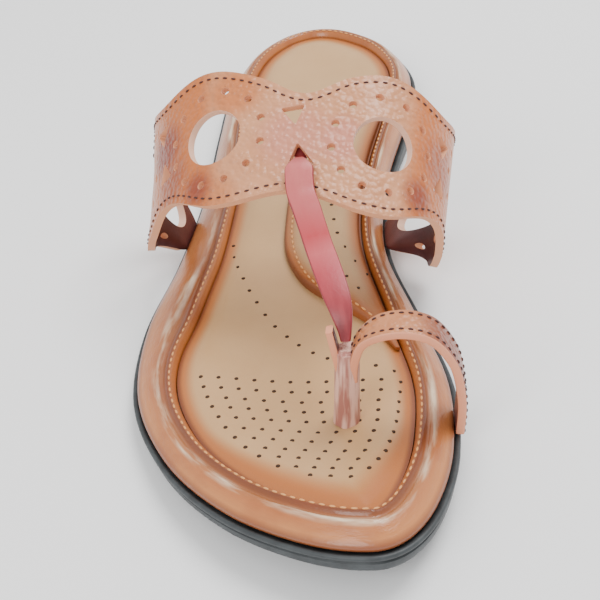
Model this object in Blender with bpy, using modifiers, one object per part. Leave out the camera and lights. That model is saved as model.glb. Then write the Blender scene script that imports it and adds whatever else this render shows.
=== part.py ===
"""A flat leather sandal for the right foot.

A black rubber outsole carries a leather-wrapped midsole, whose rim slopes up to a stitched
ridge. A padded insole lies inside the ridge, with a half-moon arch pad on its inner side.
The upper is a chain of four round medallions cut from one panel and bent over the instep, a
T-strap that leaves the panel through a slit, and a toe loop whose folded end is the toe post.

Metres, +Z up, toe towards +X. The inner side of the foot is +Y. The origin lies on the floor
under the middle of the heel.
"""

import math

import bmesh
import bpy
import numpy as np
from mathutils import Matrix

# Driving dimensions, in millimetres.
MM = 0.001
LENGTH = 250.0
HEEL_TO_ORIGIN = 35.0
GAP = 0.3
STATIONS = 30

# The outline of the outsole seen from above. The outer reach turns negative near the toe,
# where the outline has crossed the shoe's centre line.
# Columns: from the heel, outer reach, inner reach.
OUTLINE = (
    (0.0, 0.0, 0.0),
    (7.5, 16.9, 16.6),
    (20.0, 25.0, 26.9),
    (40.0, 29.6, 33.3),
    (70.0, 30.7, 31.3),
    (105.0, 31.3, 25.5),
    (137.5, 34.7, 24.8),
    (165.0, 39.6, 32.2),
    (190.0, 38.5, 39.0),
    (215.0, 28.3, 39.7),
    (235.0, 11.6, 35.6),
    (246.0, -5.4, 29.5),
    (250.0, -21.2, 21.2),
)

# The side of the sole.
# Columns: from the heel, height of the outsole's bead, height of the ridge,
# width of the rim on the outer side, width of the rim on the inner side.
SIDE = (
    (0.0, 7.0, 14.0, 9.5, 9.5),
    (35.0, 7.0, 14.0, 8.5, 7.5),
    (75.0, 6.6, 13.8, 9.5, 6.5),
    (115.0, 6.0, 12.6, 11.5, 6.0),
    (145.0, 5.5, 11.2, 13.2, 6.5),
    (165.0, 5.2, 10.2, 13.6, 7.5),
    (180.0, 5.0, 9.8, 11.2, 8.2),
    (200.0, 5.0, 9.5, 9.6, 8.6),
    (250.0, 5.0, 9.5, 9.2, 9.2),
)

# The underside: flat under the heel and the ball, raised between them, sprung at the toe.
ARCH_FROM, ARCH_TOP, ARCH_TO, ARCH_LIFT = 70.0, 105.0, 138.0, 2.4
SPRING_FROM, TOE_SPRING = 175.0, 8.0

# The outsole's side, from its bottom edge up. Columns: inset from the outline, share of the
# bead's height, further height.
OUTSOLE_SIDE = (
    (2.0, 0.0, 0.0),
    (0.9, 0.0, 0.7),
    (0.5, 1.0, -2.1),
    (1.1, 1.0, -1.7),
    (0.3, 1.0, -1.2),
    (0.0, 1.0, -0.6),
    (0.5, 1.0, 0.0),
    (1.3, 1.0, -0.4),
    (2.6, 1.0, -1.4),
)

# The midsole's rim, from the outsole up to the ridge. Columns: share of the rim's width,
# further inset, share of the rise from bead to ridge, further height.
RIM = (
    (0.0, 3.2, 0.0, -1.1),
    (0.0, 1.7, 0.0, 0.0),
    (0.0, 1.5, 0.16, 0.6),
    (0.25, 1.4, 0.50, 0.7),
    (0.60, 0.7, 0.78, 0.5),
    (0.85, 0.0, 0.90, 0.0),
    (0.93, 0.0, 1.0, 0.0),
    (1.0, 0.2, 1.0, -0.2),
    (1.0, 1.0, 1.0, -1.6),
)
RECESS, INSOLE_SEAT = 3.6, 0.45

# The insole's top, by distance in from its edge. Columns: distance, height over the ridge.
PILLOW = (
    (0.0, -1.9),
    (2.5, -1.8),
    (6.0, -0.9),
    (11.0, -1.1),
    (20.0, -1.9),
    (40.0, -2.4),
)
INSOLE_SHARES = (0.0, 0.045, 0.11, 0.2, 0.33, 0.5, 0.67, 0.8, 0.89, 0.955, 1.0)

# The arch pad lies on the insole. Columns: from the heel, its inner edge's place across.
ARCH_PAD = (
    (72.0, 20.5),
    (84.0, 9.0),
    (102.0, -1.0),
    (126.0, -4.0),
    (146.0, -2.0),
    (156.0, 3.0),
    (166.0, 12.5),
    (174.0, 20.5),
    (182.0, 26.0),
)
ARCH_PAD_RISE = 3.4
ARCH_PAD_EDGE = 0.9
ARCH_PAD_GAP = 0.6
ARCH_PAD_STATIONS = 17
ARCH_PAD_END, ARCH_PAD_END_SHARE = 22.0, 0.1
# Columns: share of the pad's width, share of its rise.
ARCH_PAD_SECTION = (
    (0.0, 0.0),
    (0.03, 0.35),
    (0.1, 0.72),
    (0.25, 1.0),
    (0.5, 1.0),
    (0.75, 0.85),
    (0.92, 0.5),
    (1.0, 0.0),
)

# The instep panel bends over a cone whose point lies ahead of the toe. Its middle line
# keeps one distance from that point.
CONE_POINT = (411.0, -4.0, -100.0)
CONE_REACH = 301.0
# Columns: place across, height. From the outer edge of the sole over to the inner edge.
PANEL_LINE = (
    (-40.0, 5.5),
    (-38.8, 15.5),
    (-36.0, 25.0),
    (-32.2, 34.6),
    (-25.0, 42.9),
    (-14.5, 48.6),
    (-3.5, 50.4),
    (5.0, 50.6),
    (15.5, 50.2),
    (26.7, 48.0),
    (35.0, 41.6),
    (39.8, 32.4),
    (40.0, 22.8),
    (37.8, 13.5),
    (34.5, 5.5),
)
CREST_ACROSS = 5.0
PANEL_WALL = 2.0
PANEL_COLUMNS, PANEL_ROWS = 46, 11
PANEL_END_CROWDING, END_TRIM = 0.35, 0.15

# The medallions. Columns: name, centre's place along the panel from the crest,
# forward shift, radius, turn of its ring of small holes in degrees.
MEDALLIONS = (
    ("lower_outer", -56.5, -11.0, 18.6, 0.0),
    ("upper_outer", -20.9, -3.6, 19.0, -13.0),
    ("upper_inner", 21.5, 1.3, 19.0, -8.0),
    ("lower_inner", 58.5, -3.2, 18.6, 0.0),
)
LARGE_HOLE_RADIUS, LARGE_HOLE_SIDES = 7.4, 28
RING_RADIUS, RING_HOLES = 12.8, 12
SMALL_HOLE_RADIUS, SMALL_HOLE_SIDES = 1.05, 7

# Where two medallions join, the edges dip in and two triangles are cut, points together.
# Columns: name, place along the panel, forward shift, turn in degrees.
JOINS = (
    ("outer_side", -38.8, -7.3, 0.0),
    ("crest", 0.3, -1.0, -7.0),
    ("inner_side", 40.3, -0.5, 0.0),
)
NECK_HALF = 14.8
REAR_DIP, REAR_DIP_AT, REAR_DIP_HALF_WIDTH = 2.6, 2.5, 11.0
CUTOUT_NEAR, CUTOUT_FAR, CUTOUT_HALF_WIDTH = 2.4, 7.8, 3.0
SLIT_FAR, SLIT_HALF_WIDTH = 9.2, 3.6
LAST_REACH, CORNER_POWER = 11.4, 3.2

# The panel's two ends are drawn in to the sole over their stitched middle. The outer end
# also twists: its front stands out and its rear leans in.
TUCK_LENGTH = 14.0
TUCK_FULL, TUCK_NONE = 6.0, 15.0
TUCK_OUT, TUCK_UP = -0.1, 0.7
TWIST, TWIST_FROM, TWIST_FULL = 0.1, -36.0, -60.0

# The T-strap starts under the panel and comes up through the slit at the crest.
# Columns: along the panel, forward, out from the middle of the panel's wall, width.
T_STRAP_START = (
    (0.5, -1.0, -2.3, 5.4),
    (1.0, 2.4, -2.4, 4.2),
    (1.2, 4.8, -1.9, 1.8),
    (1.25, 6.0, 0.0, 1.8),
    (1.3, 6.9, 1.8, 2.8),
    (1.4, 8.8, 2.4, 6.2),
    (1.5, 12.0, 2.3, 6.8),
    (1.8, 15.0, 2.1, 6.8),
)
# Then it runs free to the toe post. Columns: from the heel, across, height, width.
T_STRAP_RUN = (
    (171.0, 7.9, 43.5, 6.7),
    (178.0, 9.6, 42.7, 6.5),
    (185.0, 11.3, 42.0, 6.4),
    (191.0, 13.0, 40.8, 6.4),
    (196.0, 14.5, 39.3, 6.2),
    (199.6, 15.6, 37.6, 5.6),
    (202.3, 16.3, 35.4, 4.4),
    (204.0, 16.6, 33.0, 3.0),
    (204.8, 16.6, 31.0, 2.2),
)
T_STRAP_WALL = 1.5
# The toe loop, from inside the post over the big toe to the sole's inner edge, and the short
# flap on the post's other side. Columns: from the heel, across, height, width.
TOE_LOOP = (
    (206.1, 17.4, 22.0, 4.6),
    (206.3, 18.5, 28.5, 5.0),
    (206.5, 20.3, 32.6, 5.6),
    (206.6, 23.8, 35.2, 7.4),
    (206.6, 28.8, 36.0, 8.0),
    (206.7, 34.6, 34.2, 8.0),
    (206.7, 38.9, 28.0, 8.0),
    (206.7, 40.6, 18.0, 8.0),
    (206.7, 39.8, 7.2, 8.0),
)
TOE_LOOP_WALL = 2.0
POST_FLAP = (
    (205.6, 14.8, 22.0, 4.0),
    (205.4, 14.2, 28.5, 4.2),
    (204.8, 13.4, 34.4, 3.2),
)
POST_FLAP_WALL = 1.6
POST_FOOT = (206.4, 14.8)
POST_HEAD = (205.8, 16.8)
POST_TOP = 29.6
POST_WIDTH, POST_DEPTH = 5.6, 6.0
STRAP_STEP = 2.2
STRAP_ROUNDING = 0.35
POST_SIDES = 14
POST_SEAT = 0.75

RUBBER = ("rubber_outsole", (0.018, 0.021, 0.023), 0.45)
RIM_LEATHER = ("rim_leather", (0.30, 0.10, 0.035), 0.38)
SOCK_LEATHER = ("sock_leather", (0.40, 0.22, 0.10), 0.5)
ARCH_LEATHER = ("arch_leather", (0.38, 0.19, 0.08), 0.45)
GRAINED_LEATHER = ("grained_leather", (0.50, 0.22, 0.10), 0.5)
STRAP_LEATHER = ("strap_leather", (0.40, 0.09, 0.07), 0.5)


def clear_scene():
    for thing in list(bpy.data.objects):
        bpy.data.objects.remove(thing, do_unlink=True)


def collection(name):
    found = bpy.data.collections.new(name)
    bpy.context.scene.collection.children.link(found)
    return found


def material(finish):
    name, colour, roughness = finish
    made = bpy.data.materials.new(name)
    made.use_nodes = True
    shader = made.node_tree.nodes["Principled BSDF"]
    shader.inputs["Base Color"].default_value = (*colour, 1.0)
    shader.inputs["Roughness"].default_value = roughness
    shader.inputs["Metallic"].default_value = 0.0
    return made


def smooth(xs, ys, at):
    """A smooth curve through the points (xs, ys), read at the places in at."""
    xs, ys = np.asarray(xs, float), np.asarray(ys, float)
    at = np.clip(np.asarray(at, float), xs[0], xs[-1])
    steps = np.diff(xs)
    rises = np.diff(ys) / steps
    slopes = np.empty(len(xs))
    slopes[1:-1] = (steps[1:] * rises[:-1] + steps[:-1] * rises[1:]) / (steps[:-1] + steps[1:])
    slopes[0] = 1.5 * rises[0] - 0.5 * slopes[1]
    slopes[-1] = 1.5 * rises[-1] - 0.5 * slopes[-2]
    left = np.clip(np.searchsorted(xs, at) - 1, 0, len(steps) - 1)
    width = steps[left]
    t = (at - xs[left]) / width
    return (
        (1 + 2 * t) * (1 - t) ** 2 * ys[left]
        + t * (1 - t) ** 2 * width * slopes[left]
        + t * t * (3 - 2 * t) * ys[left + 1]
        - t * t * (1 - t) * width * slopes[left + 1]
    )


def column(table, index):
    return [row[index] for row in table]


def read(table, index, at):
    return smooth(column(table, 0), column(table, index), at)


def ease(t):
    t = np.clip(t, 0.0, 1.0)
    return t * t * (3 - 2 * t)


def turn_of(from_heel):
    """The outline's turning angle, 0 at the heel's back and pi at the toe's tip."""
    return np.arccos(np.clip(1 - 2 * np.asarray(from_heel, float) / LENGTH, -1, 1))


def outline(turns, side):
    """Points of the outsole's outline. Side is 2 for the outer edge and 3 for the inner."""
    reach = smooth(turn_of(column(OUTLINE, 0)), column(OUTLINE, side - 1), turns)
    across = reach if side == 3 else -reach
    return np.stack([LENGTH * (1 - np.cos(turns)) / 2, across], axis=-1)


def underside(from_heel):
    """Height of the outsole's underside over the floor."""
    x = np.asarray(from_heel, float)
    rise = ease((x - ARCH_FROM) / (ARCH_TOP - ARCH_FROM))
    fall = ease((ARCH_TO - x) / (ARCH_TO - ARCH_TOP))
    spring = np.clip((x - SPRING_FROM) / (LENGTH - SPRING_FROM), 0, 1) ** 2
    return ARCH_LIFT * np.minimum(rise, fall) + TOE_SPRING * spring


def toe_lift(from_heel):
    """How far the toe spring lifts everything above the sole."""
    share = np.clip((np.asarray(from_heel, float) - SPRING_FROM) / (LENGTH - SPRING_FROM), 0, 1)
    return TOE_SPRING * share ** 2


def bead_height(from_heel):
    return read(SIDE, 1, from_heel) + toe_lift(from_heel)


def ridge_height(from_heel):
    return read(SIDE, 2, from_heel) + toe_lift(from_heel)


STEPS = np.linspace(0, math.pi, STATIONS + 1)


def edge_loop():
    """The outline as one closed loop, heel to toe on the inner side and back on the outer."""
    inner = outline(STEPS, 3)
    outer = outline(STEPS[-2:0:-1], 2)
    return np.concatenate([inner, outer])


def inward(loop):
    """Unit normals of a closed loop that runs clockwise from above, pointing inwards."""
    along = np.roll(loop, -1, axis=0) - np.roll(loop, 1, axis=0)
    along /= np.linalg.norm(along, axis=1)[:, None]
    return np.stack([along[:, 1], -along[:, 0]], axis=1)


EDGE = edge_loop()
INWARD = inward(EDGE)


def rim_width():
    """Width of the rim at each point of the loop."""
    inner = read(SIDE, 4, EDGE[: STATIONS + 1, 0])
    outer = read(SIDE, 3, EDGE[STATIONS + 1 :, 0])
    return np.concatenate([inner, outer])


RIM_WIDTH = rim_width()


def inset_loop(inset):
    return EDGE + INWARD * np.broadcast_to(inset, len(EDGE))[:, None]


def with_height(plan, height):
    return np.concatenate([plan, np.asarray(height)[:, None]], axis=1)


def metres(points):
    """From the sandal's millimetres, measured from the heel's back, to metres at the origin."""
    moved = np.asarray(points, float) - (HEEL_TO_ORIGIN, 0.0, 0.0)
    return moved * MM


def mesh_object(name, points, faces, home, finish):
    mesh = bpy.data.meshes.new(name)
    mesh.from_pydata([tuple(p) for p in metres(points)], [], faces)
    mesh.update()
    made = bpy.data.objects.new(name, mesh)
    home.objects.link(made)
    if finish:
        mesh.materials.append(material(finish))
    return made


def tidy_normals(thing, sharp_degrees=40.0):
    """Merges doubles, turns the faces outwards and shades the round parts smooth."""
    work = bmesh.new()
    work.from_mesh(thing.data)
    bmesh.ops.remove_doubles(work, verts=work.verts, dist=1e-6)
    bmesh.ops.recalc_face_normals(work, faces=work.faces)
    if work.calc_volume(signed=True) < 0:
        bmesh.ops.reverse_faces(work, faces=work.faces)
    work.to_mesh(thing.data)
    work.free()
    thing.data.shade_smooth()
    thing.data.set_sharp_from_angle(angle=math.radians(sharp_degrees))


def partner(index):
    """The loop's point straight across the shoe."""
    return (2 * STATIONS - index) % (2 * STATIONS)


def ladder(loop_start, shares, grid):
    """Faces that fill a loop with rows across the shoe.

    grid holds, for each station between the ends, the indices of the points across from the
    outer to the inner side. The ends of the loop close with triangles.
    """
    faces = []
    for row, after in zip(grid[:-1], grid[1:]):
        for k in range(len(shares) - 1):
            faces.append((row[k], row[k + 1], after[k + 1], after[k]))
    heel, toe = loop_start, loop_start + STATIONS
    for k in range(len(shares) - 1):
        faces.append((heel, grid[0][k + 1], grid[0][k]))
        faces.append((toe, grid[-1][k], grid[-1][k + 1]))
    return faces


def layered_solid(name, loops, low_shares, low_height, top_shares, top_height, home, finish):
    """A closed solid from loops stacked from the bottom up, filled below and above.

    The heights are functions of a plan point and the edge's own height. A share of 0 lies on
    the outer edge of the loop and 1 on the inner.
    """
    points = np.concatenate(loops)
    count = len(EDGE)
    faces = []
    for level in range(len(loops) - 1):
        for k in range(count):
            after = (k + 1) % count
            low, high = level * count, (level + 1) * count
            faces.append((low + k, low + after, high + after, high + k))
    extra = []
    for loop_start, shares, height in (
        (0, low_shares, low_height),
        ((len(loops) - 1) * count, top_shares, top_height),
    ):
        grid = []
        for station in range(1, STATIONS):
            inner = loop_start + station
            outer = loop_start + partner(station)
            row = [outer]
            for share in shares[1:-1]:
                spot = points[outer] * (1 - share) + points[inner] * share
                if height:
                    spot = np.array([spot[0], spot[1], height(spot[0], spot[1])])
                row.append(len(points) + len(extra))
                extra.append(spot)
            grid.append(row + [inner])
        faces += ladder(loop_start, shares, grid)
    if extra:
        points = np.concatenate([points, np.array(extra)])
    made = mesh_object(name, points, faces, home, finish)
    tidy_normals(made)
    return made


def outsole(home):
    """Rubber outsole, with a groove and a bead along the top of its side."""
    loops = []
    for inset, share, further in OUTSOLE_SIDE:
        plan = inset_loop(inset)
        low = underside(EDGE[:, 0])
        top = bead_height(EDGE[:, 0])
        loops.append(with_height(plan, low + share * (top - low) + further))
    return layered_solid("outsole", loops, (0, 1), None, (0, 1), None, home, RUBBER)


def floor_height(from_heel):
    """Top of the midsole under the insole."""
    return ridge_height(from_heel) - RECESS


def midsole(home):
    """Leather-wrapped midsole: its rim slopes up to the ridge, inside which it is recessed."""
    loops = []
    low = bead_height(EDGE[:, 0])
    rise = ridge_height(EDGE[:, 0]) - low
    for width_share, further_in, rise_share, further_up in RIM:
        plan = inset_loop(RIM_WIDTH * width_share + further_in)
        loops.append(with_height(plan, low + rise * rise_share + further_up))
    floor = inset_loop(RIM_WIDTH + RIM[-1][1])
    loops.append(with_height(floor, floor_height(floor[:, 0])))
    return layered_solid("midsole", loops, (0, 1), None, (0, 1), None, home, RIM_LEATHER)


def insole_edge():
    return inset_loop(RIM_WIDTH + RIM[-1][1] + GAP)


def distance_in(x, y, loop):
    """Distance of a plan point from a closed loop."""
    starts = loop
    steps = np.roll(loop, -1, axis=0) - starts
    to_point = np.array([x, y]) - starts
    share = np.clip((to_point * steps).sum(1) / (steps * steps).sum(1), 0, 1)
    return float(np.linalg.norm(to_point - steps * share[:, None], axis=1).min())


INSOLE_EDGE = insole_edge()


def insole_height(x, y):
    """Top of the insole at a plan point."""
    inside = distance_in(x, y, INSOLE_EDGE)
    return float(ridge_height(x) + read(PILLOW, 1, inside))


def insole(home):
    """Padded insole: a trough along its edge, a soft roll inside that, and a dished middle."""
    heights = ridge_height(EDGE[:, 0])
    loops = [
        with_height(INSOLE_EDGE, floor_height(INSOLE_EDGE[:, 0]) + INSOLE_SEAT),
        with_height(INSOLE_EDGE, heights + PILLOW[0][1]),
    ]
    shares = INSOLE_SHARES
    return layered_solid(
        "insole", loops, (0, 1), None, shares, insole_height, home, SOCK_LEATHER
    )


def arch_pad(home):
    """Half-moon pad on the insole, with a rounded edge that stands up from it."""
    inner_half = inset_loop(RIM_WIDTH + RIM[-1][1] + 3 * GAP)[1:STATIONS]
    first, last = ARCH_PAD[0][0], ARCH_PAD[-1][0]
    stations = first + (last - first) * (1 - np.cos(np.linspace(0, math.pi, ARCH_PAD_STATIONS))) / 2
    near = read(ARCH_PAD, 1, stations)
    far = np.interp(stations, inner_half[:, 0], inner_half[:, 1])
    lower, upper = [], []
    for x, inner, outer in zip(stations, near, far):
        for share, rise in ARCH_PAD_SECTION:
            y = inner + (outer - inner) * share
            ends = ease(min(x - first, last - x) / ARCH_PAD_END + ARCH_PAD_END_SHARE)
            seat = insole_height(x, y) + ARCH_PAD_GAP
            lower.append((x, y, seat))
            upper.append((x, y, seat + ARCH_PAD_EDGE + (ARCH_PAD_RISE - ARCH_PAD_EDGE) * rise * ends))
    made = slab("arch_pad", lower, upper, len(ARCH_PAD_SECTION), home, ARCH_LEATHER)
    tidy_normals(made)
    return made


def slab(name, lower, upper, across, home, finish):
    """A closed solid between two grids of points, given row after row."""
    rows = len(lower) // across
    count = len(lower)
    faces = []
    for r in range(rows - 1):
        for c in range(across - 1):
            a, b = r * across + c, r * across + c + 1
            d, e = a + across, b + across
            faces.append((a, b, e, d))
            faces.append((a + count, d + count, e + count, b + count))
    rim = (
        [c for c in range(across)]
        + [r * across + across - 1 for r in range(1, rows)]
        + [(rows - 1) * across + c for c in range(across - 2, -1, -1)]
        + [r * across for r in range(rows - 2, 0, -1)]
    )
    for k, a in enumerate(rim):
        b = rim[(k + 1) % len(rim)]
        faces.append((b, a, a + count, b + count))
    return mesh_object(name, lower + upper, faces, home, finish)


def panel_line():
    """The panel's middle line as dense points and their distances from the crest."""
    rows = np.array(PANEL_LINE)
    chords = np.concatenate([[0], np.cumsum(np.linalg.norm(np.diff(rows, axis=0), axis=1))])
    at = np.linspace(0, chords[-1], 400)
    y = smooth(chords, rows[:, 0], at)
    z = smooth(chords, rows[:, 1], at)
    px, py, pz = CONE_POINT
    x = px - np.sqrt(CONE_REACH ** 2 - (y - py) ** 2 - (z - pz) ** 2)
    line = np.stack([x, y, z], axis=1)
    along = np.concatenate([[0], np.cumsum(np.linalg.norm(np.diff(line, axis=0), axis=1))])
    upper = line[:, 2] > line[:, 2].max() / 2
    crest = np.interp(CREST_ACROSS, y[upper], along[upper])
    return along - crest, line


PANEL_ALONG, PANEL_POINTS = panel_line()


def over_instep(along, forward, out):
    """Where a point of the flat panel lies once it is bent over the cone.

    along runs from the crest towards the inner side, forward towards the toe, and out is the
    distance from the middle of the leather's thickness.
    """
    at = np.array([np.interp(along, PANEL_ALONG, PANEL_POINTS[:, k]) for k in range(3)])
    near = np.array([np.interp(along + 0.5, PANEL_ALONG, PANEL_POINTS[:, k]) for k in range(3)])
    back = np.array([np.interp(along - 0.5, PANEL_ALONG, PANEL_POINTS[:, k]) for k in range(3)])
    ahead = np.array(CONE_POINT) - at
    ahead /= np.linalg.norm(ahead)
    run = near - back
    run /= np.linalg.norm(run)
    face = np.cross(ahead, run)
    face /= np.linalg.norm(face)
    shrink = 1 - forward / CONE_REACH
    point = np.array(CONE_POINT) + (at - np.array(CONE_POINT)) * shrink
    return point + face * out


def medallion_shift(along):
    """Forward place of the medallions' middle line."""
    return float(smooth(column(MEDALLIONS, 1), column(MEDALLIONS, 2), along))


def panel_reach(along):
    """Half the panel's width, from neck to medallion and rounded off at its two ends."""
    nearest = min(MEDALLIONS, key=lambda row: abs(row[1] - along))
    radius = nearest[3]
    away = along - nearest[1]
    if (away < 0) == (nearest is MEDALLIONS[0]) and nearest in (MEDALLIONS[0], MEDALLIONS[-1]):
        return radius * max(1 - (abs(away) / LAST_REACH) ** CORNER_POWER, 0.0) ** (1 / CORNER_POWER)
    neck = min(JOINS, key=lambda row: abs(row[1] - along))
    share = abs(away) / abs(neck[1] - nearest[1])
    return NECK_HALF + (radius - NECK_HALF) * (0.5 + 0.5 * math.cos(math.pi * min(share, 1.0)))


def rear_dip(along):
    """How much less the panel reaches to the rear, over the instep."""
    away = min(abs(along - REAR_DIP_AT) / REAR_DIP_HALF_WIDTH, 1.0)
    return REAR_DIP * (0.5 + 0.5 * math.cos(math.pi * away))


PANEL_START = MEDALLIONS[0][1] - LAST_REACH
PANEL_END = MEDALLIONS[-1][1] + LAST_REACH


def flat_panel(home):
    """The panel as it is cut: a slab of leather with scalloped edges."""
    work = bmesh.new()
    bmesh.ops.create_grid(work, x_segments=PANEL_COLUMNS, y_segments=PANEL_ROWS, size=0.5)
    for vert in work.verts:
        even = vert.co.x + 0.5
        share = even - PANEL_END_CROWDING * math.sin(2 * math.pi * even) / (2 * math.pi)
        along = PANEL_START + (PANEL_END - PANEL_START) * share
        along = min(max(along, PANEL_START + END_TRIM), PANEL_END - END_TRIM)
        reach = panel_reach(along)
        if vert.co.y < 0:
            reach -= rear_dip(along)
        forward = medallion_shift(along) + reach * 2 * vert.co.y
        vert.co = (along, forward, 0.0)
    mesh = bpy.data.meshes.new("instep_band")
    work.to_mesh(mesh)
    work.free()
    made = bpy.data.objects.new("instep_band", mesh)
    home.objects.link(made)
    wall = made.modifiers.new("wall", "SOLIDIFY")
    wall.thickness = PANEL_WALL
    wall.offset = 0.0
    return made


def cutter(name, outline_points, home):
    """A prism through the flat panel, from the corners of its outline."""
    work = bmesh.new()
    corners = [work.verts.new((x, y, -2 * PANEL_WALL)) for x, y in outline_points]
    face = work.faces.new(corners)
    pushed = bmesh.ops.extrude_face_region(work, geom=[face])
    lifted = [v for v in pushed["geom"] if isinstance(v, bmesh.types.BMVert)]
    bmesh.ops.translate(work, verts=lifted, vec=(0, 0, 4 * PANEL_WALL))
    bmesh.ops.recalc_face_normals(work, faces=work.faces)
    mesh = bpy.data.meshes.new(name)
    work.to_mesh(mesh)
    work.free()
    made = bpy.data.objects.new(name, mesh)
    home.objects.link(made)
    made.hide_render = True
    made.display_type = "WIRE"
    return made


def circle(along, forward, radius, sides):
    turns = [2 * math.pi * k / sides for k in range(sides)]
    return [(along + radius * math.cos(t), forward + radius * math.sin(t)) for t in turns]


def inside_panel(along, forward, margin):
    if not PANEL_START + margin < along < PANEL_END - margin:
        return False
    return abs(forward - medallion_shift(along)) < panel_reach(along) - margin


def triangle(join, near, far, half_width, side):
    """Corners of a triangular cut-out. Side is 1 in front of the join and -1 behind it."""
    _, along, shift, turn = join
    c, s = math.cos(math.radians(turn)), math.sin(math.radians(turn))
    flat = [(0.0, near * side), (half_width, far * side), (-half_width, far * side)]
    return [(along + x * c - y * s, shift + x * s + y * c) for x, y in flat][::side]


def clear_of_cutouts(along, forward):
    """Whether a small hole leaves room for the triangles of the nearest join."""
    _, middle, shift, _ = min(JOINS, key=lambda row: abs(row[1] - along))
    return abs(along - middle) > CUTOUT_HALF_WIDTH + 2 * SMALL_HOLE_RADIUS


def panel_cutters(home):
    """The holes of the panel: a large one and a ring of small ones in each medallion."""
    made = []
    for name, along, forward, _, turn in MEDALLIONS:
        rim = circle(along, forward, LARGE_HOLE_RADIUS, LARGE_HOLE_SIDES)
        made.append(cutter(name + "_hole", rim, home))
        for k in range(RING_HOLES):
            angle = math.radians(turn) + 2 * math.pi * k / RING_HOLES
            x = along + RING_RADIUS * math.cos(angle)
            y = forward + RING_RADIUS * math.sin(angle)
            if inside_panel(x, y, 2.5 * SMALL_HOLE_RADIUS) and clear_of_cutouts(x, y):
                rim = circle(x, y, SMALL_HOLE_RADIUS, SMALL_HOLE_SIDES)
                made.append(cutter(f"{name}_ring_{k}", rim, home))
    for join in JOINS:
        name = join[0]
        far, half = (SLIT_FAR, SLIT_HALF_WIDTH) if name == "crest" else (CUTOUT_FAR, CUTOUT_HALF_WIDTH)
        front = triangle(join, CUTOUT_NEAR, far, half, 1)
        rear = triangle(join, CUTOUT_NEAR, CUTOUT_FAR, CUTOUT_HALF_WIDTH, -1)
        made.append(cutter(name + "_front", front, home))
        made.append(cutter(name + "_rear", rear, home))
    return made


def evaluated(thing):
    """The object's mesh after its modifiers."""
    graph = bpy.context.evaluated_depsgraph_get()
    return bpy.data.meshes.new_from_object(thing.evaluated_get(graph))


def sole_edge(x, side):
    """The outline's place across at a distance from the heel. Side is 1 inner, -1 outer."""
    table = 2 if side > 0 else 1
    return side * float(smooth(turn_of(column(OUTLINE, 0)), column(OUTLINE, table), turn_of(x)))


def tucked(along, forward, out):
    """A point of the bent panel, drawn in to the sole near the panel's stitched ends."""
    side = 1 if along > 0 else -1
    last = PANEL_END if side > 0 else PANEL_START
    from_middle = forward - medallion_shift(along)
    pull = float(ease(1 - abs(last - along) / TUCK_LENGTH))
    pull *= float(ease((TUCK_NONE - abs(from_middle)) / (TUCK_NONE - TUCK_FULL)))
    twist = TWIST * float(ease((along - TWIST_FROM) / (TWIST_FULL - TWIST_FROM)))
    point = over_instep(along, forward, out + twist * from_middle * (1 - pull))
    foot = over_instep(last, forward, 0.0)
    edge = sole_edge(foot[0], side) + side * TUCK_OUT
    seat = np.array([foot[0], edge, bead_height(foot[0]) + TUCK_UP])
    return point + (seat - foot) * pull


def instep_band(home, cutters_home):
    """The panel with its holes cut, bent over the instep."""
    panel = flat_panel(home)
    cutters = panel_cutters(cutters_home)
    cut = panel.modifiers.new("holes", "BOOLEAN")
    cut.operation = "DIFFERENCE"
    cut.solver = "EXACT"
    cut.operand_type = "COLLECTION"
    cut.collection = cutters_home
    mesh = evaluated(panel)
    panel.modifiers.clear()
    panel.data = mesh
    mesh.name = "instep_band"
    work = bmesh.new()
    work.from_mesh(mesh)
    bmesh.ops.remove_doubles(work, verts=work.verts, dist=1e-4)
    bmesh.ops.dissolve_degenerate(work, edges=work.edges, dist=1e-3)
    bmesh.ops.triangulate(work, faces=work.faces)
    for vert in work.verts:
        vert.co = metres(tucked(*vert.co))
    work.to_mesh(mesh)
    work.free()
    mesh.materials.clear()
    mesh.materials.append(material(GRAINED_LEATHER))
    for item in cutters:
        item.data.transform(to_shoe())
    tidy_normals(panel)
    return panel


def to_shoe():
    """Brings the flat cutters to the sandal's scale, above the instep."""
    return Matrix.Translation((0.115, 0.0, 0.12)) @ Matrix.Diagonal((MM, MM, MM, 1.0))


def strap(name, table, broad, wall, home, finish):
    """A flat strap along a path. broad is the way its face spreads."""
    rows = np.array(table, float)
    chords = np.concatenate([[0], np.cumsum(np.linalg.norm(np.diff(rows[:, :3], axis=0), axis=1))])
    count = max(int(round(chords[-1] / STRAP_STEP)), 3)
    at = np.linspace(0, chords[-1], count + 1)
    path = np.stack([smooth(chords, rows[:, k], at) for k in range(3)], axis=1)
    width = smooth(chords, rows[:, 3], at)
    along = np.gradient(path, axis=0)
    along /= np.linalg.norm(along, axis=1)[:, None]
    face = np.array(broad, float) - along * (along @ np.array(broad, float))[:, None]
    face /= np.linalg.norm(face, axis=1)[:, None]
    points, faces = [], []
    for p, f, w in zip(path, face, width):
        points += [p - f * w / 2, p, p + f * w / 2]
    for k in range(count):
        a = 3 * k
        faces += [(a, a + 1, a + 4, a + 3), (a + 1, a + 2, a + 5, a + 4)]
    made = mesh_object(name, points, faces, home, finish)
    thick = made.modifiers.new("wall", "SOLIDIFY")
    thick.thickness = wall * MM
    thick.offset = 0.0
    thick.use_even_offset = True
    rounding = made.modifiers.new("rounding", "BEVEL")
    rounding.width = STRAP_ROUNDING * MM
    rounding.segments = 1
    rounding.limit_method = "ANGLE"
    rounding.angle_limit = math.radians(50)
    return made


def t_strap(home):
    """Smooth strap from under the panel, up through its slit and down to the toe post."""
    start = [(*over_instep(a, f, o), w) for a, f, o, w in T_STRAP_START]
    return strap("t_strap", start + list(T_STRAP_RUN), (0, 1, 0), T_STRAP_WALL, home, STRAP_LEATHER)


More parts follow.
